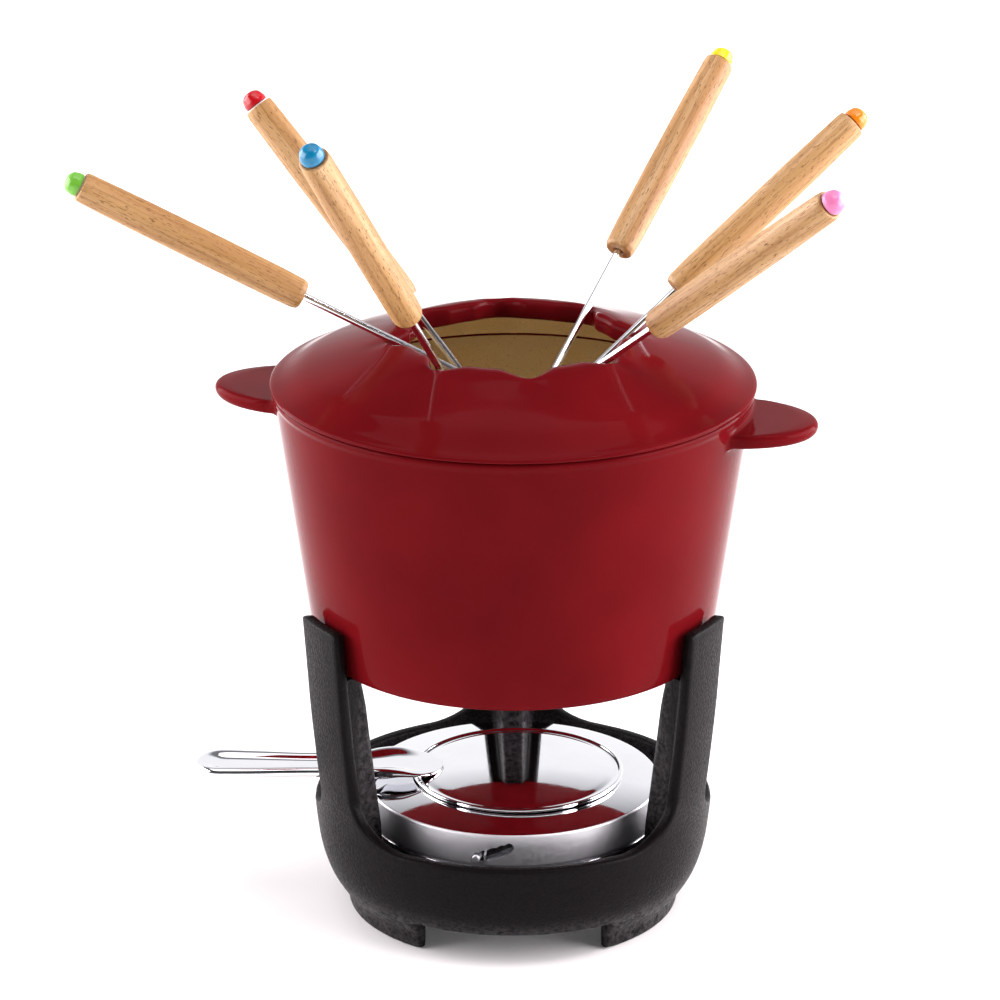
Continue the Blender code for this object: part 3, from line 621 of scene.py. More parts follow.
def stand_columns(made):
    """Every column of the stand as lists of points: feet, bowl wall and arm, outside and inside."""
    built = []
    for arm_angle in (90, 210, 330):
        for column in one_third():
            low, top = column["low"], column["top"]
            heights = [low + (top - low) * row / BODY_ROWS for row in range(BODY_ROWS + 1)]
            inner_heights = [BOWL_CORNER + (top - BOWL_CORNER) * row / BODY_ROWS
                             for row in range(BODY_ROWS + 1)]
            feet = FOOT_ROWS if column["foot"] else ()
            arm = ARM_ROWS if column["arm"] else ()
            rows = {"feet": feet, "body": heights, "arm": arm}
            outer = {part: wall_line(made, column, arm_angle, rows[part], True) for part in rows}
            rows = {"body": inner_heights, "arm": arm}
            inner = {part: wall_line(made, column, arm_angle, rows[part], False) for part in rows}
            angle = arm_angle + column["angle"]
            floor = list(BOWL_FLOOR)
            if low > ARCH_SPRING:
                floor += [(61.0, 14.05), (63.0, 14.3), (FLOOR_EDGE, low)]
            else:
                floor += [(61.0, min(14.0, low + 2.4)), (64.0, min(12.9, low + 1.3)), (FLOOR_EDGE, low)]
            inner["floor"] = [made.verts.new(polar(radius, angle, height)) for radius, height in floor]
            inner["feet"] = [made.verts.new(polar(FLOOR_EDGE, angle, height)) for height in feet]
            built.append((column, outer, inner))
    return built


def rounded_rim(made, outer, inner, steps=3, corner=1.7):
    """Close the gap between two matching loops with a strip whose edges are rounded."""
    count = len(outer)
    strips = []
    for k in range(count):
        across = inner[k].co - outer[k].co
        run = outer[(k + 1) % count].co - outer[k - 1].co
        outward = run.cross(across).normalized()
        thickness = across.length
        ease = min(corner, thickness * 0.45)
        line = [outer[k]]
        turns = [math.pi / 2 * step / steps for step in range(1, steps + 1)]
        arcs = [(ease * (1 - math.cos(turn)), math.sin(turn)) for turn in turns]
        arcs += [(thickness - place, rise) for place, rise in reversed(arcs)]
        for place, rise in arcs:
            spot = outer[k].co + across.normalized() * place + outward * rise * RIM_BULGE
            line.append(made.verts.new(spot))
        strips.append(line + [inner[k]])
    for k in range(count):
        quads(made, strips[k], strips[(k + 1) % count])


def rim_run(base, limb, before, here, after):
    """What one column adds to a rim: a limb's near edge, its end, or its far edge."""
    if here and not before:
        return [base] + limb
    if here and not after:
        return limb[::-1] + [base]
    return [limb[-1] if here else base]


def make_stand():
    made = bmesh.new()
    built = stand_columns(made)
    top_outer, top_inner, low_outer, low_inner = [], [], [], []
    for number, (column, outer, inner) in enumerate(built):
        following, next_outer, next_inner = built[(number + 1) % len(built)]
        previous = built[number - 1][0]
        quads(made, outer["body"], next_outer["body"])
        quads(made, next_inner["body"], inner["body"])
        quads(made, inner["body"][:1] + inner["floor"], next_inner["body"][:1] + next_inner["floor"])
        if column["arm"] and following["arm"]:
            quads(made, outer["body"][-1:] + outer["arm"], next_outer["body"][-1:] + next_outer["arm"])
            quads(made, next_inner["body"][-1:] + next_inner["arm"], inner["body"][-1:] + inner["arm"])
        if column["foot"] and following["foot"]:
            quads(made, outer["feet"] + outer["body"][:1], next_outer["feet"] + next_outer["body"][:1])
            quads(made, next_inner["feet"] + next_inner["floor"][-1:], inner["feet"] + inner["floor"][-1:])
        # The upper rim climbs each arm and comes down again. The lower rim does so round each foot.
        arms = (previous["arm"], column["arm"], following["arm"])
        feet = (previous["foot"], column["foot"], following["foot"])
        top_outer += rim_run(outer["body"][-1], outer["arm"], *arms)
        top_inner += rim_run(inner["body"][-1], inner["arm"], *arms)
        low_outer += rim_run(outer["body"][0], outer["feet"][::-1], *feet)
        low_inner += rim_run(inner["floor"][-1], inner["feet"][::-1], *feet)
    rounded_rim(made, top_outer, top_inner)
    rounded_rim(made, low_inner, low_outer)
    return to_piece("stand_casting", made, [black_iron], sharp_degrees=50)


stand = make_stand()
settle(stand, "stand", "cast_iron_black", "stand")

# %% [markdown]
# ## Pot
# The pot is a tapered casting with a slightly beaded rim and two flat ears, one on each side.
# The ears are part of the casting, so they are part of the grid here too: where a column of
# the wall meets an ear, its middle points travel out to the ear's edge and back. Small
# fillets at the root come from the same points, and no join shows in the gloss.

# %% Pot sizes, in millimetres
POT_BOTTOM = 116.4
POT_RIM = 228.4
POT_FOOT = 82.8
POT_TAPER = 0.1425
POT_WALL = 4.2
EAR_HEADING = -13.0
EAR_TIP = 127.0
EAR_ROOT = 91.0
EAR_HALF_WIDTH = 25.0
EAR_MIDDLE = 218.6
EAR_HALF_THICKNESS = 2.9
EAR_FILLET = 2.2


def pot_radius(height):
    return POT_FOOT + (height - POT_BOTTOM) * POT_TAPER


def ear_columns():
    """(angle off the ear's middle, reach beyond the wall) round one ear, in degrees and mm."""
    wall = pot_radius(EAR_MIDDLE)
    half = []
    for step in range(17):
        turn = math.radians(5 * step)
        x = EAR_ROOT + (EAR_TIP - EAR_ROOT) * math.cos(turn)
        y = EAR_HALF_WIDTH * math.sin(turn)
        half.append((math.degrees(math.atan2(y, x)), math.hypot(x, y) - wall))
    last_angle = half[-1][0]
    half += [(last_angle + 0.9, 1.5), (last_angle + 2.0, 0.5), (last_angle + 3.4, 0.0)]
    return [(-angle, reach) for angle, reach in half[:0:-1]] + half


def ear_rows(reach):
    """Points from the wall below an ear, round its edge, to the wall above it."""
    share = min(1.0, reach / 7.0)
    share = share * share * (3 - 2 * share)
    full = []
    low, high = EAR_MIDDLE - EAR_HALF_THICKNESS, EAR_MIDDLE + EAR_HALF_THICKNESS
    fillet, tip = EAR_FILLET, EAR_HALF_THICKNESS
    for k in range(5):
        turn = math.pi / 2 * k / 4
        full.append((fillet * (1 - math.cos(turn)), low - fillet * (1 - math.sin(turn))))
    straight = max(0.5, reach - tip - fillet)
    full += [(fillet + straight * k / 4, low) for k in range(1, 4)]
    for k in range(9):
        turn = -math.pi / 2 + math.pi * k / 8
        full.append((fillet + straight + tip * 0.92 * math.cos(turn), EAR_MIDDLE + tip * math.sin(turn)))
    full += [(fillet + straight * k / 4, high) for k in (3, 2, 1)]
    for k in range(5):
        turn = math.pi / 2 * (1 - k / 4)
        full.append((fillet * (1 - math.cos(turn)), high + fillet * (1 - math.sin(turn))))
    count = len(full) - 1
    bottom, top = full[0][1], full[-1][1]
    rows = []
    for k, (out, height) in enumerate(full):
        flat_height = bottom + (top - bottom) * k / count
        out = min(out, reach) if share < 1 else out
        rows.append((out * share, flat_height + (height - flat_height) * share))
    return rows


def make_pot():
    below = [(0, POT_BOTTOM), (30, POT_BOTTOM), (60, POT_BOTTOM), (74, POT_BOTTOM)]
    for k in range(7):
        turn = math.radians(-90 + 82 * k / 6)
        below.append((POT_FOOT - 3.4 + 3.4 * math.cos(turn), POT_BOTTOM + 3.4 + 3.4 * math.sin(turn)))
    below += [(pot_radius(h), h) for h in (122, 128, 140, 155, 170, 185, 198, 206, 210.5)]
    bead = pot_radius(POT_RIM)
    above = [(pot_radius(224.6) + 0.1, 224.6), (bead + 0.2, 225.6), (bead + 0.5, 226.4), (bead + 0.55, 227.1),
             (bead + 0.3, 227.8), (bead - 0.3, 228.25), (bead - 1.0, POT_RIM), (bead - 3.0, POT_RIM),
             (bead - 3.8, 228.1), (bead - POT_WALL, 227.3), (bead - POT_WALL - 0.2, 226)]
    floor = POT_BOTTOM + 5
    foot = pot_radius(floor) - POT_WALL
    inside = [(pot_radius(h) - POT_WALL, h) for h in (215, 195, 175, 155, 140, 132)]
    inside += [(foot + 0.2, floor + 6), (foot - 0.9, floor + 3), (foot - 3, floor + 1),
               (foot - 6, floor + 0.2), (foot - 10, floor), (45, floor), (20, floor), (0, floor)]
    stations = []
    edge = ear_columns()
    for side in (0, 180):
        stations += [(EAR_HEADING + side + angle, reach) for angle, reach in edge]
        gap_start = EAR_HEADING + side + edge[-1][0]
        gap = 180 - 2 * edge[-1][0]
        stations += [(gap_start + gap * k / 64, 0.0) for k in range(1, 64)]
    made = bmesh.new()
    under_pole = made.verts.new((0, 0, POT_BOTTOM))
    floor_pole = made.verts.new((0, 0, floor))
    columns = []
    for degrees, reach in stations:
        ear = [(pot_radius(height) + out, height) for out, height in ear_rows(reach)]
        path = below[1:] + ear + above + inside[:-1]
        line = [made.verts.new(polar(radius, degrees, height)) for radius, height in path]
        columns.append([under_pole] + line + [floor_pole])
    first_inside = len(below) + len(ear_rows(0.0)) + len(above) - 3
    for number, column in enumerate(columns):
        following = columns[(number + 1) % len(columns)]
        for k in range(len(column) - 1):
            face = patch(made, column[k], following[k], following[k + 1], column[k + 1])
            face.material_index = int(k >= first_inside)
    return to_piece("pot_casting", made, [red_enamel, sand_enamel], sharp_degrees=60)


pot = make_pot()
settle(pot, "pot", "enamel_red", "pot")

# %% [markdown]
# ## Splash ring
# The ring is a shallow dome with eight rests round its mouth. The same rest comes back every
# 45 degrees, so this shape follows a rule, and Geometry Nodes make it: a plain turned ring
# goes in, and the tree pulls its lip outward and down wherever a fork rests. A point
# attribute says how much each point takes part, from 0 at the edge to 1 at the lip.

# %% A small toolkit for building trees
def new_tree(name, inputs):
    """An empty Geometry Nodes tree with named inputs, given as (name, kind, value)."""
    made = bpy.data.node_groups.new(name, "GeometryNodeTree")
    made.interface.new_socket("Geometry", in_out="INPUT", socket_type="NodeSocketGeometry")
    made.interface.new_socket("Geometry", in_out="OUTPUT", socket_type="NodeSocketGeometry")
    for label, kind, value in inputs:
        socket = made.interface.new_socket(label, in_out="INPUT", socket_type=kind)
        if value is not None:
            socket.default_value = value
    return made, made.nodes.new("NodeGroupInput").outputs, made.nodes.new("NodeGroupOutput").inputs


def grow(piece, tree, **values):
    """Run a tree on a piece with these inputs, keep what it gives, and drop the modifier."""
    step = piece.modifiers.new(tree.name, "NODES")
    step.node_group = tree
    for item in tree.interface.items_tree:
        label = item.name.replace(" ", "_")
        if item.in_out == "INPUT" and label in values:
            step[item.identifier] = values[label]
    return bake(piece)


print("toolkit ready")

# %% The tree that forms the rests
NAMED, SET_MATERIAL = "GeometryNodeInputNamedAttribute", "GeometryNodeSetMaterial"
rests, given, result = new_tree("fork_rests", [
    ("Rests", "NodeSocketFloat", 8.0), ("First Rest", "NodeSocketFloat", 0.0),
    ("Reach", "NodeSocketFloat", 0.007), ("Dip", "NodeSocketFloat", 0.0017),
    ("Groove", "NodeSocketFloat", 0.0012), ("Width", "NodeSocketFloat", 0.7),
    ("Centre X", "NodeSocketFloat", 0.0), ("Centre Y", "NodeSocketFloat", 0.0)])
place = add(rests, "GeometryNodeInputPosition")
split = add(rests, "ShaderNodeSeparateXYZ", (place,)).outputs
away_x = add(rests, MATHS, (split["X"], given["Centre X"]), operation="SUBTRACT")
away_y = add(rests, MATHS, (split["Y"], given["Centre Y"]), operation="SUBTRACT")

# How far off the middle of the nearest rest a point is: 0 there, and 1 half-way to the next.
bearing = add(rests, MATHS, (away_y, away_x), operation="ARCTAN2")
heading = add(rests, MATHS, (bearing, given["First Rest"]), operation="SUBTRACT")
share_of_turn = add(rests, MATHS, (heading, TURN), operation="DIVIDE")
turns = add(rests, MATHS, (share_of_turn, given["Rests"]), operation="MULTIPLY")
whole = add(rests, MATHS, (turns,), operation="ROUND")
nearest = add(rests, MATHS, (turns, whole), operation="SUBTRACT")
spread = add(rests, MATHS, (nearest,), operation="ABSOLUTE")
off = add(rests, MATHS, (spread, 2.0), operation="MULTIPLY")

# 1 in the middle of a rest, and smoothly 0 from its width on. The groove is half as wide.
wide = add(rests, FADE, (off, 0.0, given["Width"], 1.0, 0.0), **SOFT)
half_width = add(rests, MATHS, (given["Width"], 0.5), operation="MULTIPLY")
narrow = add(rests, FADE, (off, 0.0, half_width, 1.0, 0.0), **SOFT)

# Both lip moves come from the lip's share, and the groove from its own share.
lip = add(rests, NAMED, {"Name": "lip_share"}, data_type="FLOAT").outputs["Attribute"]
flank = add(rests, NAMED, {"Name": "groove_share"}, data_type="FLOAT").outputs["Attribute"]
at_lip = add(rests, MATHS, (wide, lip), operation="MULTIPLY")
at_flank = add(rests, MATHS, (narrow, flank), operation="MULTIPLY")
pull = add(rests, MATHS, (at_lip, given["Reach"]), operation="MULTIPLY")
lowered = add(rests, MATHS, (at_lip, given["Dip"]), operation="MULTIPLY")
grooved = add(rests, MATHS, (at_flank, given["Groove"]), operation="MULTIPLY")
depth = add(rests, MATHS, (lowered, grooved), operation="ADD")
drop = add(rests, MATHS, (depth, -1.0), operation="MULTIPLY")
from_centre = add(rests, VECTOR, {"X": away_x, "Y": away_y})
outward = add(rests, VECTOR_MATHS, (from_centre,), operation="NORMALIZE")
shift = add(rests, VECTOR_MATHS, {0: outward, "Scale": pull}, operation="SCALE")
down = add(rests, VECTOR, {"Z": drop})
total = add(rests, VECTOR_MATHS, (shift, down), operation="ADD")

moved = add(rests, "GeometryNodeSetPosition", {"Geometry": given["Geometry"], "Offset": total})
real = add(rests, "GeometryNodeRealizeInstances", (moved,))
glossed = add(rests, SET_MATERIAL, {"Geometry": real, "Material": red_enamel})
lined = add(rests, NAMED, {"Name": "lined"}, data_type="BOOLEAN").outputs["Attribute"]
lining = {"Geometry": glossed, "Selection": lined, "Material": sand_enamel}
both = add(rests, SET_MATERIAL, lining)
rests.links.new(both.outputs["Geometry"], result["Geometry"])
print("tree", rests.name, "has", len(rests.nodes), "nodes")

# %% The ring's section and the finished ring
# Radius, height, share in the pull of a rest, share in its groove. A share left out is 0.
RING_TOP = (
    (99.4, 228.75), (99.85, 229.1), (100, 229.6), (99.9, 230.1), (99.5, 230.5), (98.6, 230.95),
    (97, 231.45), (95, 232.2), (92.5, 233.6), (90, 235.1), (87.5, 236.6), (85.5, 237.55),
    (83.5, 238.4), (80, 239.6), (76, 241), (72, 242.3), (68, 243.6), (64, 244.9),
    (60.5, 246.1, 0, 0.1), (57.5, 247.1, 0.03, 0.5), (54.5, 248.15, 0.12, 0.9), (51.5, 249.1, 0.32, 1),
    (48.8, 249.7, 0.58, 0.9), (46.6, 249.98, 0.84, 0.5), (45, 249.85, 0.94, 0.3),
    (43.9, 249.3, 1, 0.15), (43.25, 248.4, 1), (43, 247.2, 1), (43, 245.5, 1), (43.2, 243.8, 1),
    (43.6, 242.7, 1), (44.4, 242.1, 1), (45.6, 242, 1), (47, 242.4, 1))
RING_UNDER = (
    (51, 243.2, 0.7), (56, 242.6, 0.3), (62, 241.1, 0.05), (70, 238.9), (78, 236.2), (84, 233.6),
    (86.6, 231.9), (87.1, 229), (87.3, 224), (87.4, 221.7), (87.9, 220.6), (88.9, 220.5),
    (89.9, 220.6), (90.4, 221.2), (90.6, 224), (90.9, 227.6), (91.3, 228.5), (92.3, 228.72))
# Rows at the collar's lower edge that keep the red enamel, as a painted shade line.
COLLAR_SHADE_ROWS = (len(RING_TOP) + 9, len(RING_TOP) + 10)
RING_SEGMENTS = 320


def make_ring():
    section = [(*row, 0, 0)[:4] for row in RING_TOP + RING_UNDER]
    made = turned([row[:2] for row in section], RING_SEGMENTS)
    lip_layer = made.verts.layers.float.new("lip_share")
    groove_layer = made.verts.layers.float.new("groove_share")
    lined_layer = made.faces.layers.bool.new("lined")
    for number, vert in enumerate(made.verts):
        row = section[number // RING_SEGMENTS]
        vert[lip_layer], vert[groove_layer] = row[2], row[3]
    for number, face in enumerate(made.faces):
        row = number // RING_SEGMENTS
        # The collar's lower edge keeps a thin dark line of red enamel, where the lining stops: it is painted
        # shade for the gap between the collar and the pot's wall.
        face[lined_layer] = len(RING_TOP) - 1 <= row < len(section) - 3 and row not in COLLAR_SHADE_ROWS
    piece = to_piece("ring_casting", made, [red_enamel, sand_enamel], sharp_degrees=60)
    grow(piece, rests, Rests=8.0, First_Rest=math.radians(7), Reach=0.007, Dip=0.0017,
         Groove=0.0004, Width=0.7, Centre_X=AXIS_X, Centre_Y=AXIS_Y)
    return piece


ring = make_ring()
settle(ring, "splash_ring", "enamel_red", "splash_ring")

# %% [markdown]
# ## Burner
# The burner has a pan that sits in the stand, a fuel cup that rises and falls, and an
# outer shell that turns. A pin on the cup rides in the shell's sloping slot, so turning the
# shell lifts the cup and feeds the flame. All of it is thin pressed sheet, with rolled edges.

# %% Pan
# The corners of a section are given as radius, height and rounding.
PAN_SECTION = (
    (0, 18.35, 0), (45, 18.35, 3), (53.5, 21.3, 4), (57.6, 28.3, 3), (57.6, 36.5, 0.6),
    (61.0, 36.5, 0.5), (61.0, 37.8, 0.5), (57.6, 37.8, 0.5), (57.6, 49.0, 0.5), (56.3, 49.0, 0.5),
    (56.3, 28.7, 3), (52.6, 22.5, 4), (44.6, 19.65, 3), (0, 19.65, 0))
pan_mesh = turned(eased_corners(PAN_SECTION), 200)
pan = to_piece("burner_pan_pressing", pan_mesh, [mirror_steel])


def bent_block(columns, inner, outer):
    """A closed block bent round the centreline, from (angle, bottom, top) columns in degrees."""
    made = bmesh.new()
    rows = []
    for angle, low, high in columns:
        corners = ((inner, low), (outer, low), (outer, high), (inner, high))
        rows.append([made.verts.new(polar(radius, angle, height)) for radius, height in corners])
    return tube(made, rows)


SLOT_START = 255.5
PIN_GUIDE = [(SLOT_START - 2.2, 39.4, 55), (SLOT_START + 2.2, 39.4, 55)]
combine(pan, to_piece("pin_guide", bent_block(PIN_GUIDE, 53.6, 58.6), []), "DIFFERENCE")
settle(pan, "burner", "chromed_steel", "burner_pan")

# %% [markdown]
# The slot in the shell is inclined, with small steps along its upper edge that hold the pin
# at each flame height. It is cut with a block whose upper side carries the same steps.

# %% Turning shell
SLOT_SWEEP = 12.5
SLOT_LOW = 42.2
SLOT_RISE = 4.8
SLOT_WIDTH = 4.6
SHELL_RADIUS = 61.5
SLOT_STEPS = 5
SATIN_UP_TO = 53.1       # above this height the shell's top is polished
SHELL_SECTION = (
    (60.7, 38.1, 0.3), (61.5, 39.6, 1.2), (61.5, 53.0, 1.0), (43.0, 55.2, 0.8), (41.0, 54.6, 0.6),
    (41.0, 52.2, 0.4), (42.3, 52.2, 0.4), (42.3, 53.7, 0.3), (60.2, 51.5, 0.5), (60.2, 38.1, 0.3))
shell_mesh = turned(eased_corners(SHELL_SECTION, closed=True), 360)
for face in shell_mesh.faces:
    face.material_index = int(max(vert.co.z for vert in face.verts) < SATIN_UP_TO)
shell = to_piece("burner_shell_pressing", shell_mesh, [mirror_steel, satin_steel])


def slot_columns():
    over = math.degrees(SLOT_WIDTH / 2 / SHELL_RADIUS)
    columns = []
    count = 60
    for step in range(count + 1):
        share = step / count
        angle = SLOT_START - over + (SLOT_SWEEP + 2 * over) * share
        from_end = min(share, 1 - share) * (SLOT_SWEEP + 2 * over) / over
        reach = math.sqrt(max(0.02, 1 - max(0.0, 1 - from_end) ** 2))
        middle = SLOT_LOW + SLOT_RISE * (angle - SLOT_START) / SLOT_SWEEP
        half = SLOT_WIDTH / 2 * reach
        tooth = 0.55 * abs(math.sin(math.pi * SLOT_STEPS * share)) * min(1.0, from_end)
        columns.append((angle, middle - half, middle + half - 0.15 + tooth))
    return columns


combine(shell, to_piece("slot_tool", bent_block(slot_columns(), 58.5, 63.5), []), "DIFFERENCE")
bpy.context.view_layer.update()
shell.data.set_sharp_from_angle(angle=math.radians(40))
settle(shell, "regulator", "chromed_steel", "regulator_collar")

# %% Cup and pin
CUP_SECTION = (
    (0, 23.0, 0), (49, 23.0, 4), (55.5, 30.0, 3), (55.5, 45.0, 0.5), (51.5, 45.0, 0.4), (51.5, 44.0, 0.4),
    (54.5, 44.0, 0.4), (54.5, 30.4, 3), (48.4, 24.0, 3.4), (0, 24.0, 0))
cup = to_piece("fuel_cup_drawing", turned(eased_corners(CUP_SECTION), 160), [plain_steel])
settle(cup, "fuel_insert", "plain_steel", "fuel_cup")

PIN_SECTION = (
    (0, 55.8, 0), (1.6, 55.8, 0.2), (1.6, 61.7, 0.2), (1.15, 62.2, 0.2),
    (1.6, 62.5, 0.25), (1.6, 63.1, 0.5), (0, 63.1, 0))
pin_mesh = turned(eased_corners(PIN_SECTION, steps=3), 36)
lay_down = Matrix.Rotation(math.radians(SLOT_START), 4, "Z") @ Matrix.Rotation(math.pi / 2, 4, "Y")
pin_mesh.transform(Matrix.Translation((0, 0, SLOT_LOW)) @ lay_down)
pin = to_piece("regulator_pin_turned", pin_mesh, [satin_steel])
settle(pin, "fuel_insert", "chromed_steel", "regulator_pin")

# %% [markdown]
# The fibre is a soft pad that soaks up the fuel. Its top is lumpy, so its points are moved up
# and down by smooth noise before it is closed under the gauze.

# %% Fibre pad
PAD_TOP = 42.1
pad_section = [(0, 24.35), (30, 24.35), (47.6, 24.4), (52.5, 29.0), (54.1, 31.2), (54.1, 40.6), (53.2, 41.6)]
pad_section += [(radius, PAD_TOP) for radius in range(51, 0, -3)] + [(0, PAD_TOP)]
pad_mesh = turned(pad_section, 90)
for vert in pad_mesh.verts:
    if vert.co.z > PAD_TOP - 0.4:
        lumps = 0.5 + 0.5 * noise.noise(vert.co * 0.22)
        tufts = 0.5 + 0.5 * noise.noise(vert.co * 0.9)
        vert.co.z -= 1.1 * lumps + 0.25 * tufts
pad = to_piece("fuel_fibre_pad", pad_mesh, [mineral_fibre], sharp_degrees=80)
settle(pad, "fuel_insert", "fuel_fibre", "fuel_fibre")

# %% [markdown]
# The gauze is woven: each wire goes over one crossing wire and under the next. One tree makes
# it from four sizes. Real gauze of this kind has about a wire per millimetre. Here the wires
# are two millimetres apart, so that the weave still shows from a step away.

# %% The tree that weaves a round gauze
weave, given, result = new_tree("round_gauze", [
    ("Radius", "NodeSocketFloat", 0.054), ("Spacing", "NodeSocketFloat", 0.002),
    ("Wire", "NodeSocketFloat", 0.00024), ("Height", "NodeSocketFloat", 0.0431),
    ("Centre X", "NodeSocketFloat", 0.0), ("Centre Y", "NodeSocketFloat", 0.0)])

# A row of points, one for each wire, as far apart as the wires are.
across = add(weave, MATHS, (given["Radius"], 1.98), operation="MULTIPLY")
fitting = add(weave, MATHS, (across, given["Spacing"]), operation="DIVIDE")
count = add(weave, MATHS, (fitting,), operation="FLOOR")
gaps = add(weave, MATHS, (count, 1.0), operation="SUBTRACT")
half_gaps = add(weave, MATHS, (gaps, 0.5), operation="MULTIPLY")
half_row = add(weave, MATHS, (half_gaps, given["Spacing"]), operation="MULTIPLY")
row_start = add(weave, MATHS, (half_row, -1.0), operation="MULTIPLY")
start = add(weave, VECTOR, {"X": row_start})
step = add(weave, VECTOR, {"X": given["Spacing"]})
row = add(weave, "GeometryNodeMeshLine", {"Count": count, "Start Location": start, "Offset": step})

# Each wire is as long as the circle is wide where it lies.
row_place = add(weave, "GeometryNodeInputPosition")
row_x = add(weave, "ShaderNodeSeparateXYZ", (row_place,)).outputs["X"]
radius_squared = add(weave, MATHS, (given["Radius"], given["Radius"]), operation="MULTIPLY")
x_squared = add(weave, MATHS, (row_x, row_x), operation="MULTIPLY")
chord_squared = add(weave, MATHS, (radius_squared, x_squared), operation="SUBTRACT")
chord = add(weave, MATHS, (chord_squared,), operation="SQRT")
unit = add(weave, "GeometryNodeCurvePrimitiveLine", {"Start": (0, -1, 0), "End": (0, 1, 0)})
size = add(weave, VECTOR, {"X": 1.0, "Y": chord, "Z": 1.0})
strung = add(weave, "GeometryNodeInstanceOnPoints", {"Points": row, "Instance": unit, "Scale": size})
straight = add(weave, "GeometryNodeRealizeInstances", (strung,))

# A sine bends each wire over one crossing and under the next. Its neighbours do the opposite.
half_spacing = add(weave, MATHS, (given["Spacing"], 0.5), operation="MULTIPLY")
short_steps = {"Curve": straight, "Length": half_spacing}
fine = add(weave, "GeometryNodeResampleCurve", short_steps, mode="LENGTH")
wire_place = add(weave, "GeometryNodeInputPosition")
here = add(weave, "ShaderNodeSeparateXYZ", (wire_place,)).outputs
from_start = add(weave, MATHS, (here["X"], half_row), operation="ADD")
wire_count = add(weave, MATHS, (from_start, given["Spacing"]), operation="DIVIDE")
wire_number = add(weave, MATHS, (wire_count,), operation="ROUND")
crossings = add(weave, MATHS, (here["Y"], given["Spacing"]), operation="DIVIDE")
phase = add(weave, MATHS, (crossings, wire_number), operation="ADD")
angle = add(weave, MATHS, (phase, math.pi), operation="MULTIPLY")
sine = add(weave, MATHS, (angle,), operation="SINE")
wave = add(weave, MATHS, (sine, given["Wire"]), operation="MULTIPLY")
bend = add(weave, VECTOR, {"Z": wave})
bent = add(weave, "GeometryNodeSetPosition", {"Geometry": fine, "Offset": bend})

# Five sides make such a thin wire look round. The same set, turned a quarter, crosses it.
section = add(weave, "GeometryNodeCurvePrimitiveCircle", {"Resolution": 5, "Radius": given["Wire"]})
drawn = {"Curve": bent, "Profile Curve": section, "Fill Caps": True}
wires = add(weave, "GeometryNodeCurveToMesh", drawn)
crossed = add(weave, "GeometryNodeTransform", {"Geometry": wires, "Rotation": (0, 0, math.pi / 2)})
cloth = add(weave, "GeometryNodeJoinGeometry")
for wire_set in (wires, crossed):
    weave.links.new(wire_set.outputs[0], cloth.inputs["Geometry"])
middle = add(weave, VECTOR, {"X": given["Centre X"], "Y": given["Centre Y"], "Z": given["Height"]})
placed = add(weave, "GeometryNodeTransform", {"Geometry": cloth, "Translation": middle})
solid = add(weave, "GeometryNodeRealizeInstances", (placed,))
smooth = add(weave, "GeometryNodeSetShadeSmooth", (solid,))
dressed = add(weave, SET_MATERIAL, {"Geometry": smooth, "Material": woven_wire})
weave.links.new(dressed.outputs["Geometry"], result["Geometry"])
print("tree", weave.name, "has", len(weave.nodes), "nodes")

# %% The gauze
gauze = bpy.data.objects.new("woven_gauze", bpy.data.meshes.new("woven_gauze"))
bpy.context.scene.collection.objects.link(gauze)
grow(gauze, weave, Radius=0.0535, Spacing=0.002, Wire=0.00024, Height=0.0431,
     Centre_X=AXIS_X, Centre_Y=AXIS_Y)
settle(gauze, "fuel_insert", "gauze_wire", "wire_gauze")

# %% [markdown]
# ## Snuffer lid
# The lid is a shallow disc with a curled rim, spot-welded to a long pressed handle. The
# handle starts as a wide flare on the lid, narrows to a neck and widens again to a round
# end. A groove along its middle makes the thin strip stiff.

# %% Lid disc
LID_X = 2.0
LID_DOME = 2.3


def dome(radius):
    """How far the disc's middle is pressed up at one radius."""
    return LID_DOME * max(0.0, 1 - (radius / 38.0) ** 2)


LID_SECTION = [(radius, 56.4 + dome(radius)) for radius in range(0, 37, 3)]
LID_SECTION += [(38.2, 56.2), (39.4, 55.85), (40.6, 55.6), (42.2, 55.52)]
for k in range(11):
    turn = math.radians(-90 + 250 * k / 10)
    LID_SECTION.append((43.45 + 0.95 * math.cos(turn), 56.47 + 0.95 * math.sin(turn)))
LID_SECTION += [(41.4, 56.62), (40.3, 56.8), (39.2, 57.1), (38.0, 57.3)]
LID_SECTION += [(radius, 57.3 + dome(radius)) for radius in range(36, -1, -3)]
lid_mesh = turned(LID_SECTION, 240)
bmesh.ops.translate(lid_mesh, vec=(LID_X, 0, 0), verts=lid_mesh.verts)
lid = to_piece("snuffer_lid_disc", lid_mesh, [mirror_steel], sharp_degrees=60)
settle(lid, "snuffer", "chromed_steel", "snuffer_lid")

# %% Lid handle
HANDLE_LEVEL = 59.5
END_START = -123         # the handle's round end starts here
# Distance along the handle, width, thickness, lift of its middle.
HANDLE_STATIONS = (
    (-29.5, 3, 1.0, -1.1), (-30.2, 9, 1.1, -1.1), (-31.6, 15, 1.2, -1.1), (-34, 20.5, 1.3, -1.0),
    (-37.5, 25, 1.4, -0.8), (-41, 27.5, 1.7, -0.3), (-48, 29, 3.0, 0.5), (-56, 27, 4.6, -0.2),
    (-66, 21, 4.2, -0.8), (-85, 20, 4.2, -0.8), (-110, 23, 4.4, -0.6), (-124, 24, 4.4, -0.4),
    (-130, 19, 3.8, -0.4), (-133.5, 9, 2.6, -0.4))


def handle_station(x):
    """Width, thickness and lift of the handle at one place, read from the smooth table."""
    table = HANDLE_STATIONS[::-1]
    return [eased([(row[0], row[column]) for row in table], x) for column in (1, 2, 3)]


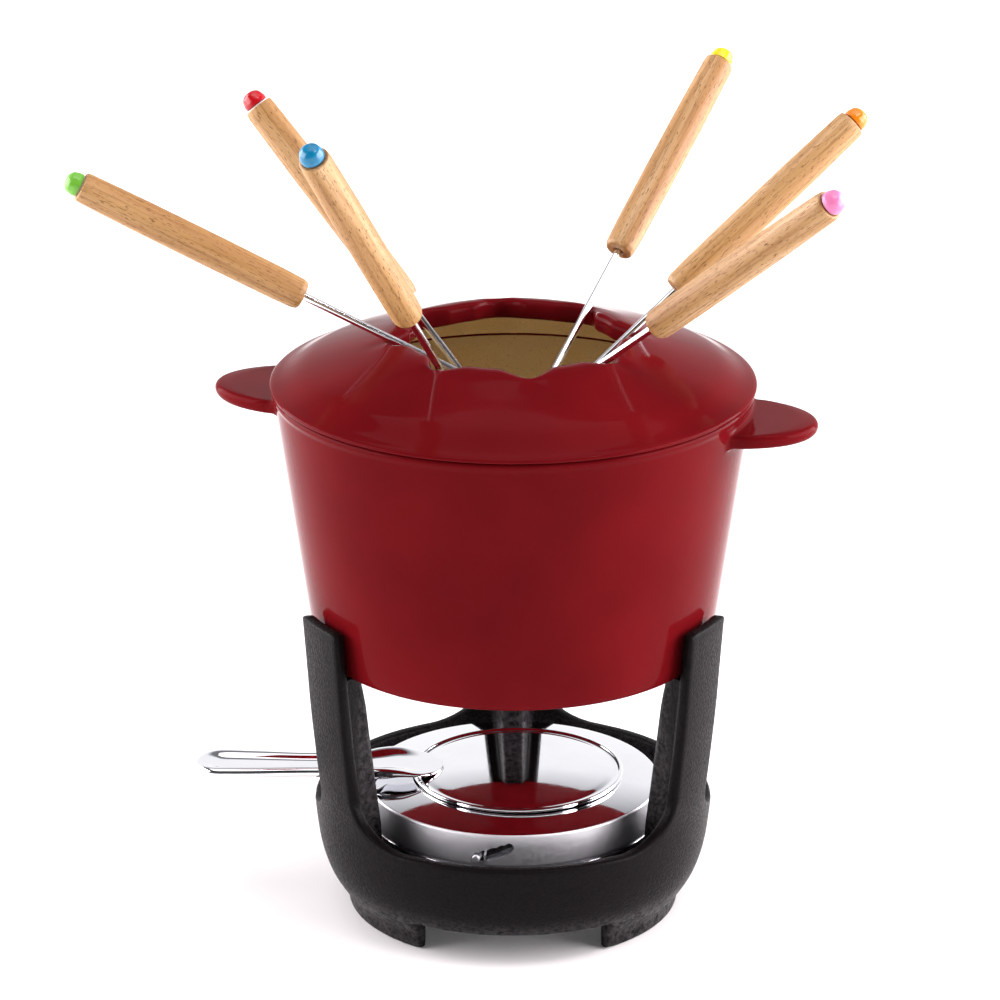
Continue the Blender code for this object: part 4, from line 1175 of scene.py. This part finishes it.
def handle_outline(width, thickness, depth_share):
    """One cross-section: rolled sides with a groove between them, as deep as depth_share says."""
    half = width / 2
    roll = min(thickness / 2, half * 0.5)
    dip = thickness * 0.42 * depth_share
    points = []
    for k in range(9):
        turn = math.radians(90 + 180 * k / 8)
        points.append((-half + roll + roll * math.cos(turn), thickness / 2 * math.sin(turn)))
    for k in range(1, 8):
        points.append((-half + roll + (width - 2 * roll) * k / 8, -thickness / 2))
    for k in range(9):
        turn = math.radians(-90 + 180 * k / 8)
        points.append((half - roll + roll * math.cos(turn), thickness / 2 * math.sin(turn)))
    for k in range(1, 16):
        share = k / 16
        y = (half - roll) * (1 - 2 * share)
        depth = dip * min(1.0, math.sin(math.pi * share) * 1.5) ** 2
        points.append((y, thickness / 2 - depth))
    return points


def make_handle():
    places = [-29.5, -29.8, -30.3, -31, -32]
    places += [-33 - 0.9 * k for k in range(27)]
    places += [-57.4 - 2.2 * k for k in range(30)]
    places = [x for x in places if x > END_START]
    places += [-123.5, -125.5, -127.3, -129, -130.5, -131.7, -132.6, -133.2, -133.5]
    made = bmesh.new()
    loops = []
    for x in places:
        width, thickness, lift = handle_station(x)
        if x < END_START:
            past = min(1.0, (END_START - x) / 10.5)
            width = 24 * math.sqrt(max(0.03, 1 - past ** 2.4))
            thickness = 4.4 - 1.6 * past ** 2
        open_end = min(1.0, max(0.0, (129.0 + x) / 6.0)) * min(1.0, max(0.0, (-x - 38.0) / 8.0))
        points = handle_outline(width, thickness, open_end)
        loops.append([made.verts.new((x, y, HANDLE_LEVEL + lift + z)) for y, z in points])
    return to_piece("snuffer_handle_pressing", tube(made, loops), [mirror_steel], sharp_degrees=60)


settle(make_handle(), "snuffer", "chromed_steel", "lid_handle")

# %% [markdown]
# ## Forks
# Each fork is a turned rubberwood handle, a coloured cap that tells the guests' forks apart,
# and a steel shaft that splits into two tines. The six are alike, so one function makes
# them. Where each one leans comes from the CAD frame: its slide joint runs along the fork,
# and the middle of its handle lies on its axis.

# %% Where each fork lies
FORK_NAMES = tuple(CAP_COLOURS)


def fork_place(name):
    """A matrix that takes millimetres along a fork, from its cap down, to its place."""
    joint = next(item for item in frame["joints"] if item["child"] == f"{name}_fork")
    down = -Vector(joint["axis"]).normalized()
    wood = [vert.co for vert in frame["nodes"][f"{name}_fork_handle"].data.vertices]
    middle = sum(wood, Vector()) / len(wood)
    cap = [vert.co for vert in frame["nodes"][f"{name}_fork_cap"].data.vertices]
    start = middle + down * (min(point.dot(down) for point in cap) - middle.dot(down))
    steel = [vert.co for vert in frame["nodes"][f"{name}_fork_tines"].data.vertices]
    tips = sorted(steel, key=lambda point: point.dot(down))[-12:]
    sideways = [point - start - down * (point - start).dot(down) for point in tips]
    across = max(sideways, key=lambda offset: offset.length).normalized()
    turned_axes = Matrix((across, down.cross(across), down)).transposed().to_4x4()
    return Matrix.Translation(start) @ turned_axes @ Matrix.Scale(MM, 4)


print("orange fork starts at", [round(value, 4) for value in fork_place("orange").translation])

# %% Fork handles and caps
CAP_LENGTH = 6.5
FORK_HANDLE_SECTION = (
    (0, 0.9, 0), (4.2, 0.9, 0.3), (5.0, 0.25, 0.4), (6.05, 0.35, 0.6), (6.35, 3.0, 4),
    (6.75, 30, 30), (6.8, 62, 40), (6.65, 90, 10), (6.35, 98.6, 2.4), (5.6, 100.9, 1.1),
    (2.4, 100.9, 0.5), (1.9, 100.0, 0.2), (1.9, 72, 0.2), (0, 72, 0))
CAP_SECTION = (
    (0, -0.35, 0), (4.9, -0.35, 0.3), (4.9, -2.2, 1.2), (4.1, -4.9, 2.4), (2.1, -6.3, 2.6),
    (0, -6.5, 0))


def fork_handle(name, number):
    made = turned(eased_corners(FORK_HANDLE_SECTION), 64)
    along = made.verts.layers.float_vector.new("grain_place")
    drift = Vector((0.031 * number, 0.047 * number, 0.19 * number))
    for vert in made.verts:
        # The log's heart lies off to one side, so the bands differ from face to face.
        vert[along] = (Vector((vert.co.x + 3, vert.co.y, vert.co.z)) * MM) + drift
    bmesh.ops.translate(made, vec=(0, 0, CAP_LENGTH), verts=made.verts)
    return to_piece(f"{name}_handle_turned", made, [rubberwood], place=fork_place(name), sharp_degrees=50)


for number, name in enumerate(FORK_NAMES):
    settle(fork_handle(name, number), f"{name}_fork", "fork_wood", f"{name}_fork_handle")
    cap_mesh = turned(eased_corners(CAP_SECTION), 48)
    bmesh.ops.translate(cap_mesh, vec=(0, 0, CAP_LENGTH), verts=cap_mesh.verts)
    cap = to_piece(f"{name}_cap_moulded", cap_mesh, [cap_plastics[name]],
                   place=fork_place(name), sharp_degrees=60)
    settle(cap, f"{name}_fork", f"{name}_cap", f"{name}_fork_cap")

# %% [markdown]
# The tines are one wire with the shaft: its end is flattened, split and drawn to two barbless
# points. A tapering tube follows each tine's path, and a union joins them to the shaft.

# %% Fork shafts and tines
FORK_LENGTH = 256.0
TINE_ROOT = 226.0
SHAFT_SECTION = (
    (0, 78, 0), (1.6, 78, 0.3), (1.6, TINE_ROOT - 6, 2), (1.5, TINE_ROOT - 1, 0.8),
    (0.9, TINE_ROOT + 1.4, 0.8), (0, TINE_ROOT + 1.8, 0))
# Distance from the shaft's axis, place along the fork, half width, half thickness.
TINE_PATH = (
    (0.33, TINE_ROOT - 2.6, 0.85, 0.80), (0.55, TINE_ROOT - 0.5, 0.95, 0.80),
    (1.20, TINE_ROOT + 2.5, 0.92, 0.78), (1.75, TINE_ROOT + 6, 0.85, 0.76),
    (2.05, TINE_ROOT + 10, 0.8, 0.75), (2.1, FORK_LENGTH - 12, 0.76, 0.74),
    (2.1, FORK_LENGTH - 7, 0.72, 0.68), (2.1, FORK_LENGTH - 3, 0.48, 0.45),
    (2.1, FORK_LENGTH - 0.8, 0.2, 0.2), (2.1, FORK_LENGTH - 0.25, 0.05, 0.05))


def tine(side):
    made = bmesh.new()
    loops = []
    turns = [TURN * (k + 0.4) / 12 for k in range(12)]
    for away, along, half_width, half_thickness in TINE_PATH:
        middle = side * away
        loop = [(middle + half_width * math.cos(turn), half_thickness * math.sin(turn), along)
                for turn in turns]
        loops.append([made.verts.new(place) for place in loop])
    return tube(made, loops)


def fork_steel(name):
    place = fork_place(name)
    shaft_mesh = turned(eased_corners(SHAFT_SECTION), 32)
    shaft = to_piece(f"{name}_shaft_and_tines", shaft_mesh, [wire_steel], place=place)
    for side in (-1, 1):
        combine(shaft, to_piece("prong", tine(side), [wire_steel], place=place), "UNION")
    return shaft


for name in FORK_NAMES:
    settle(fork_steel(name), f"{name}_fork", "polished_steel", f"{name}_fork_tines")
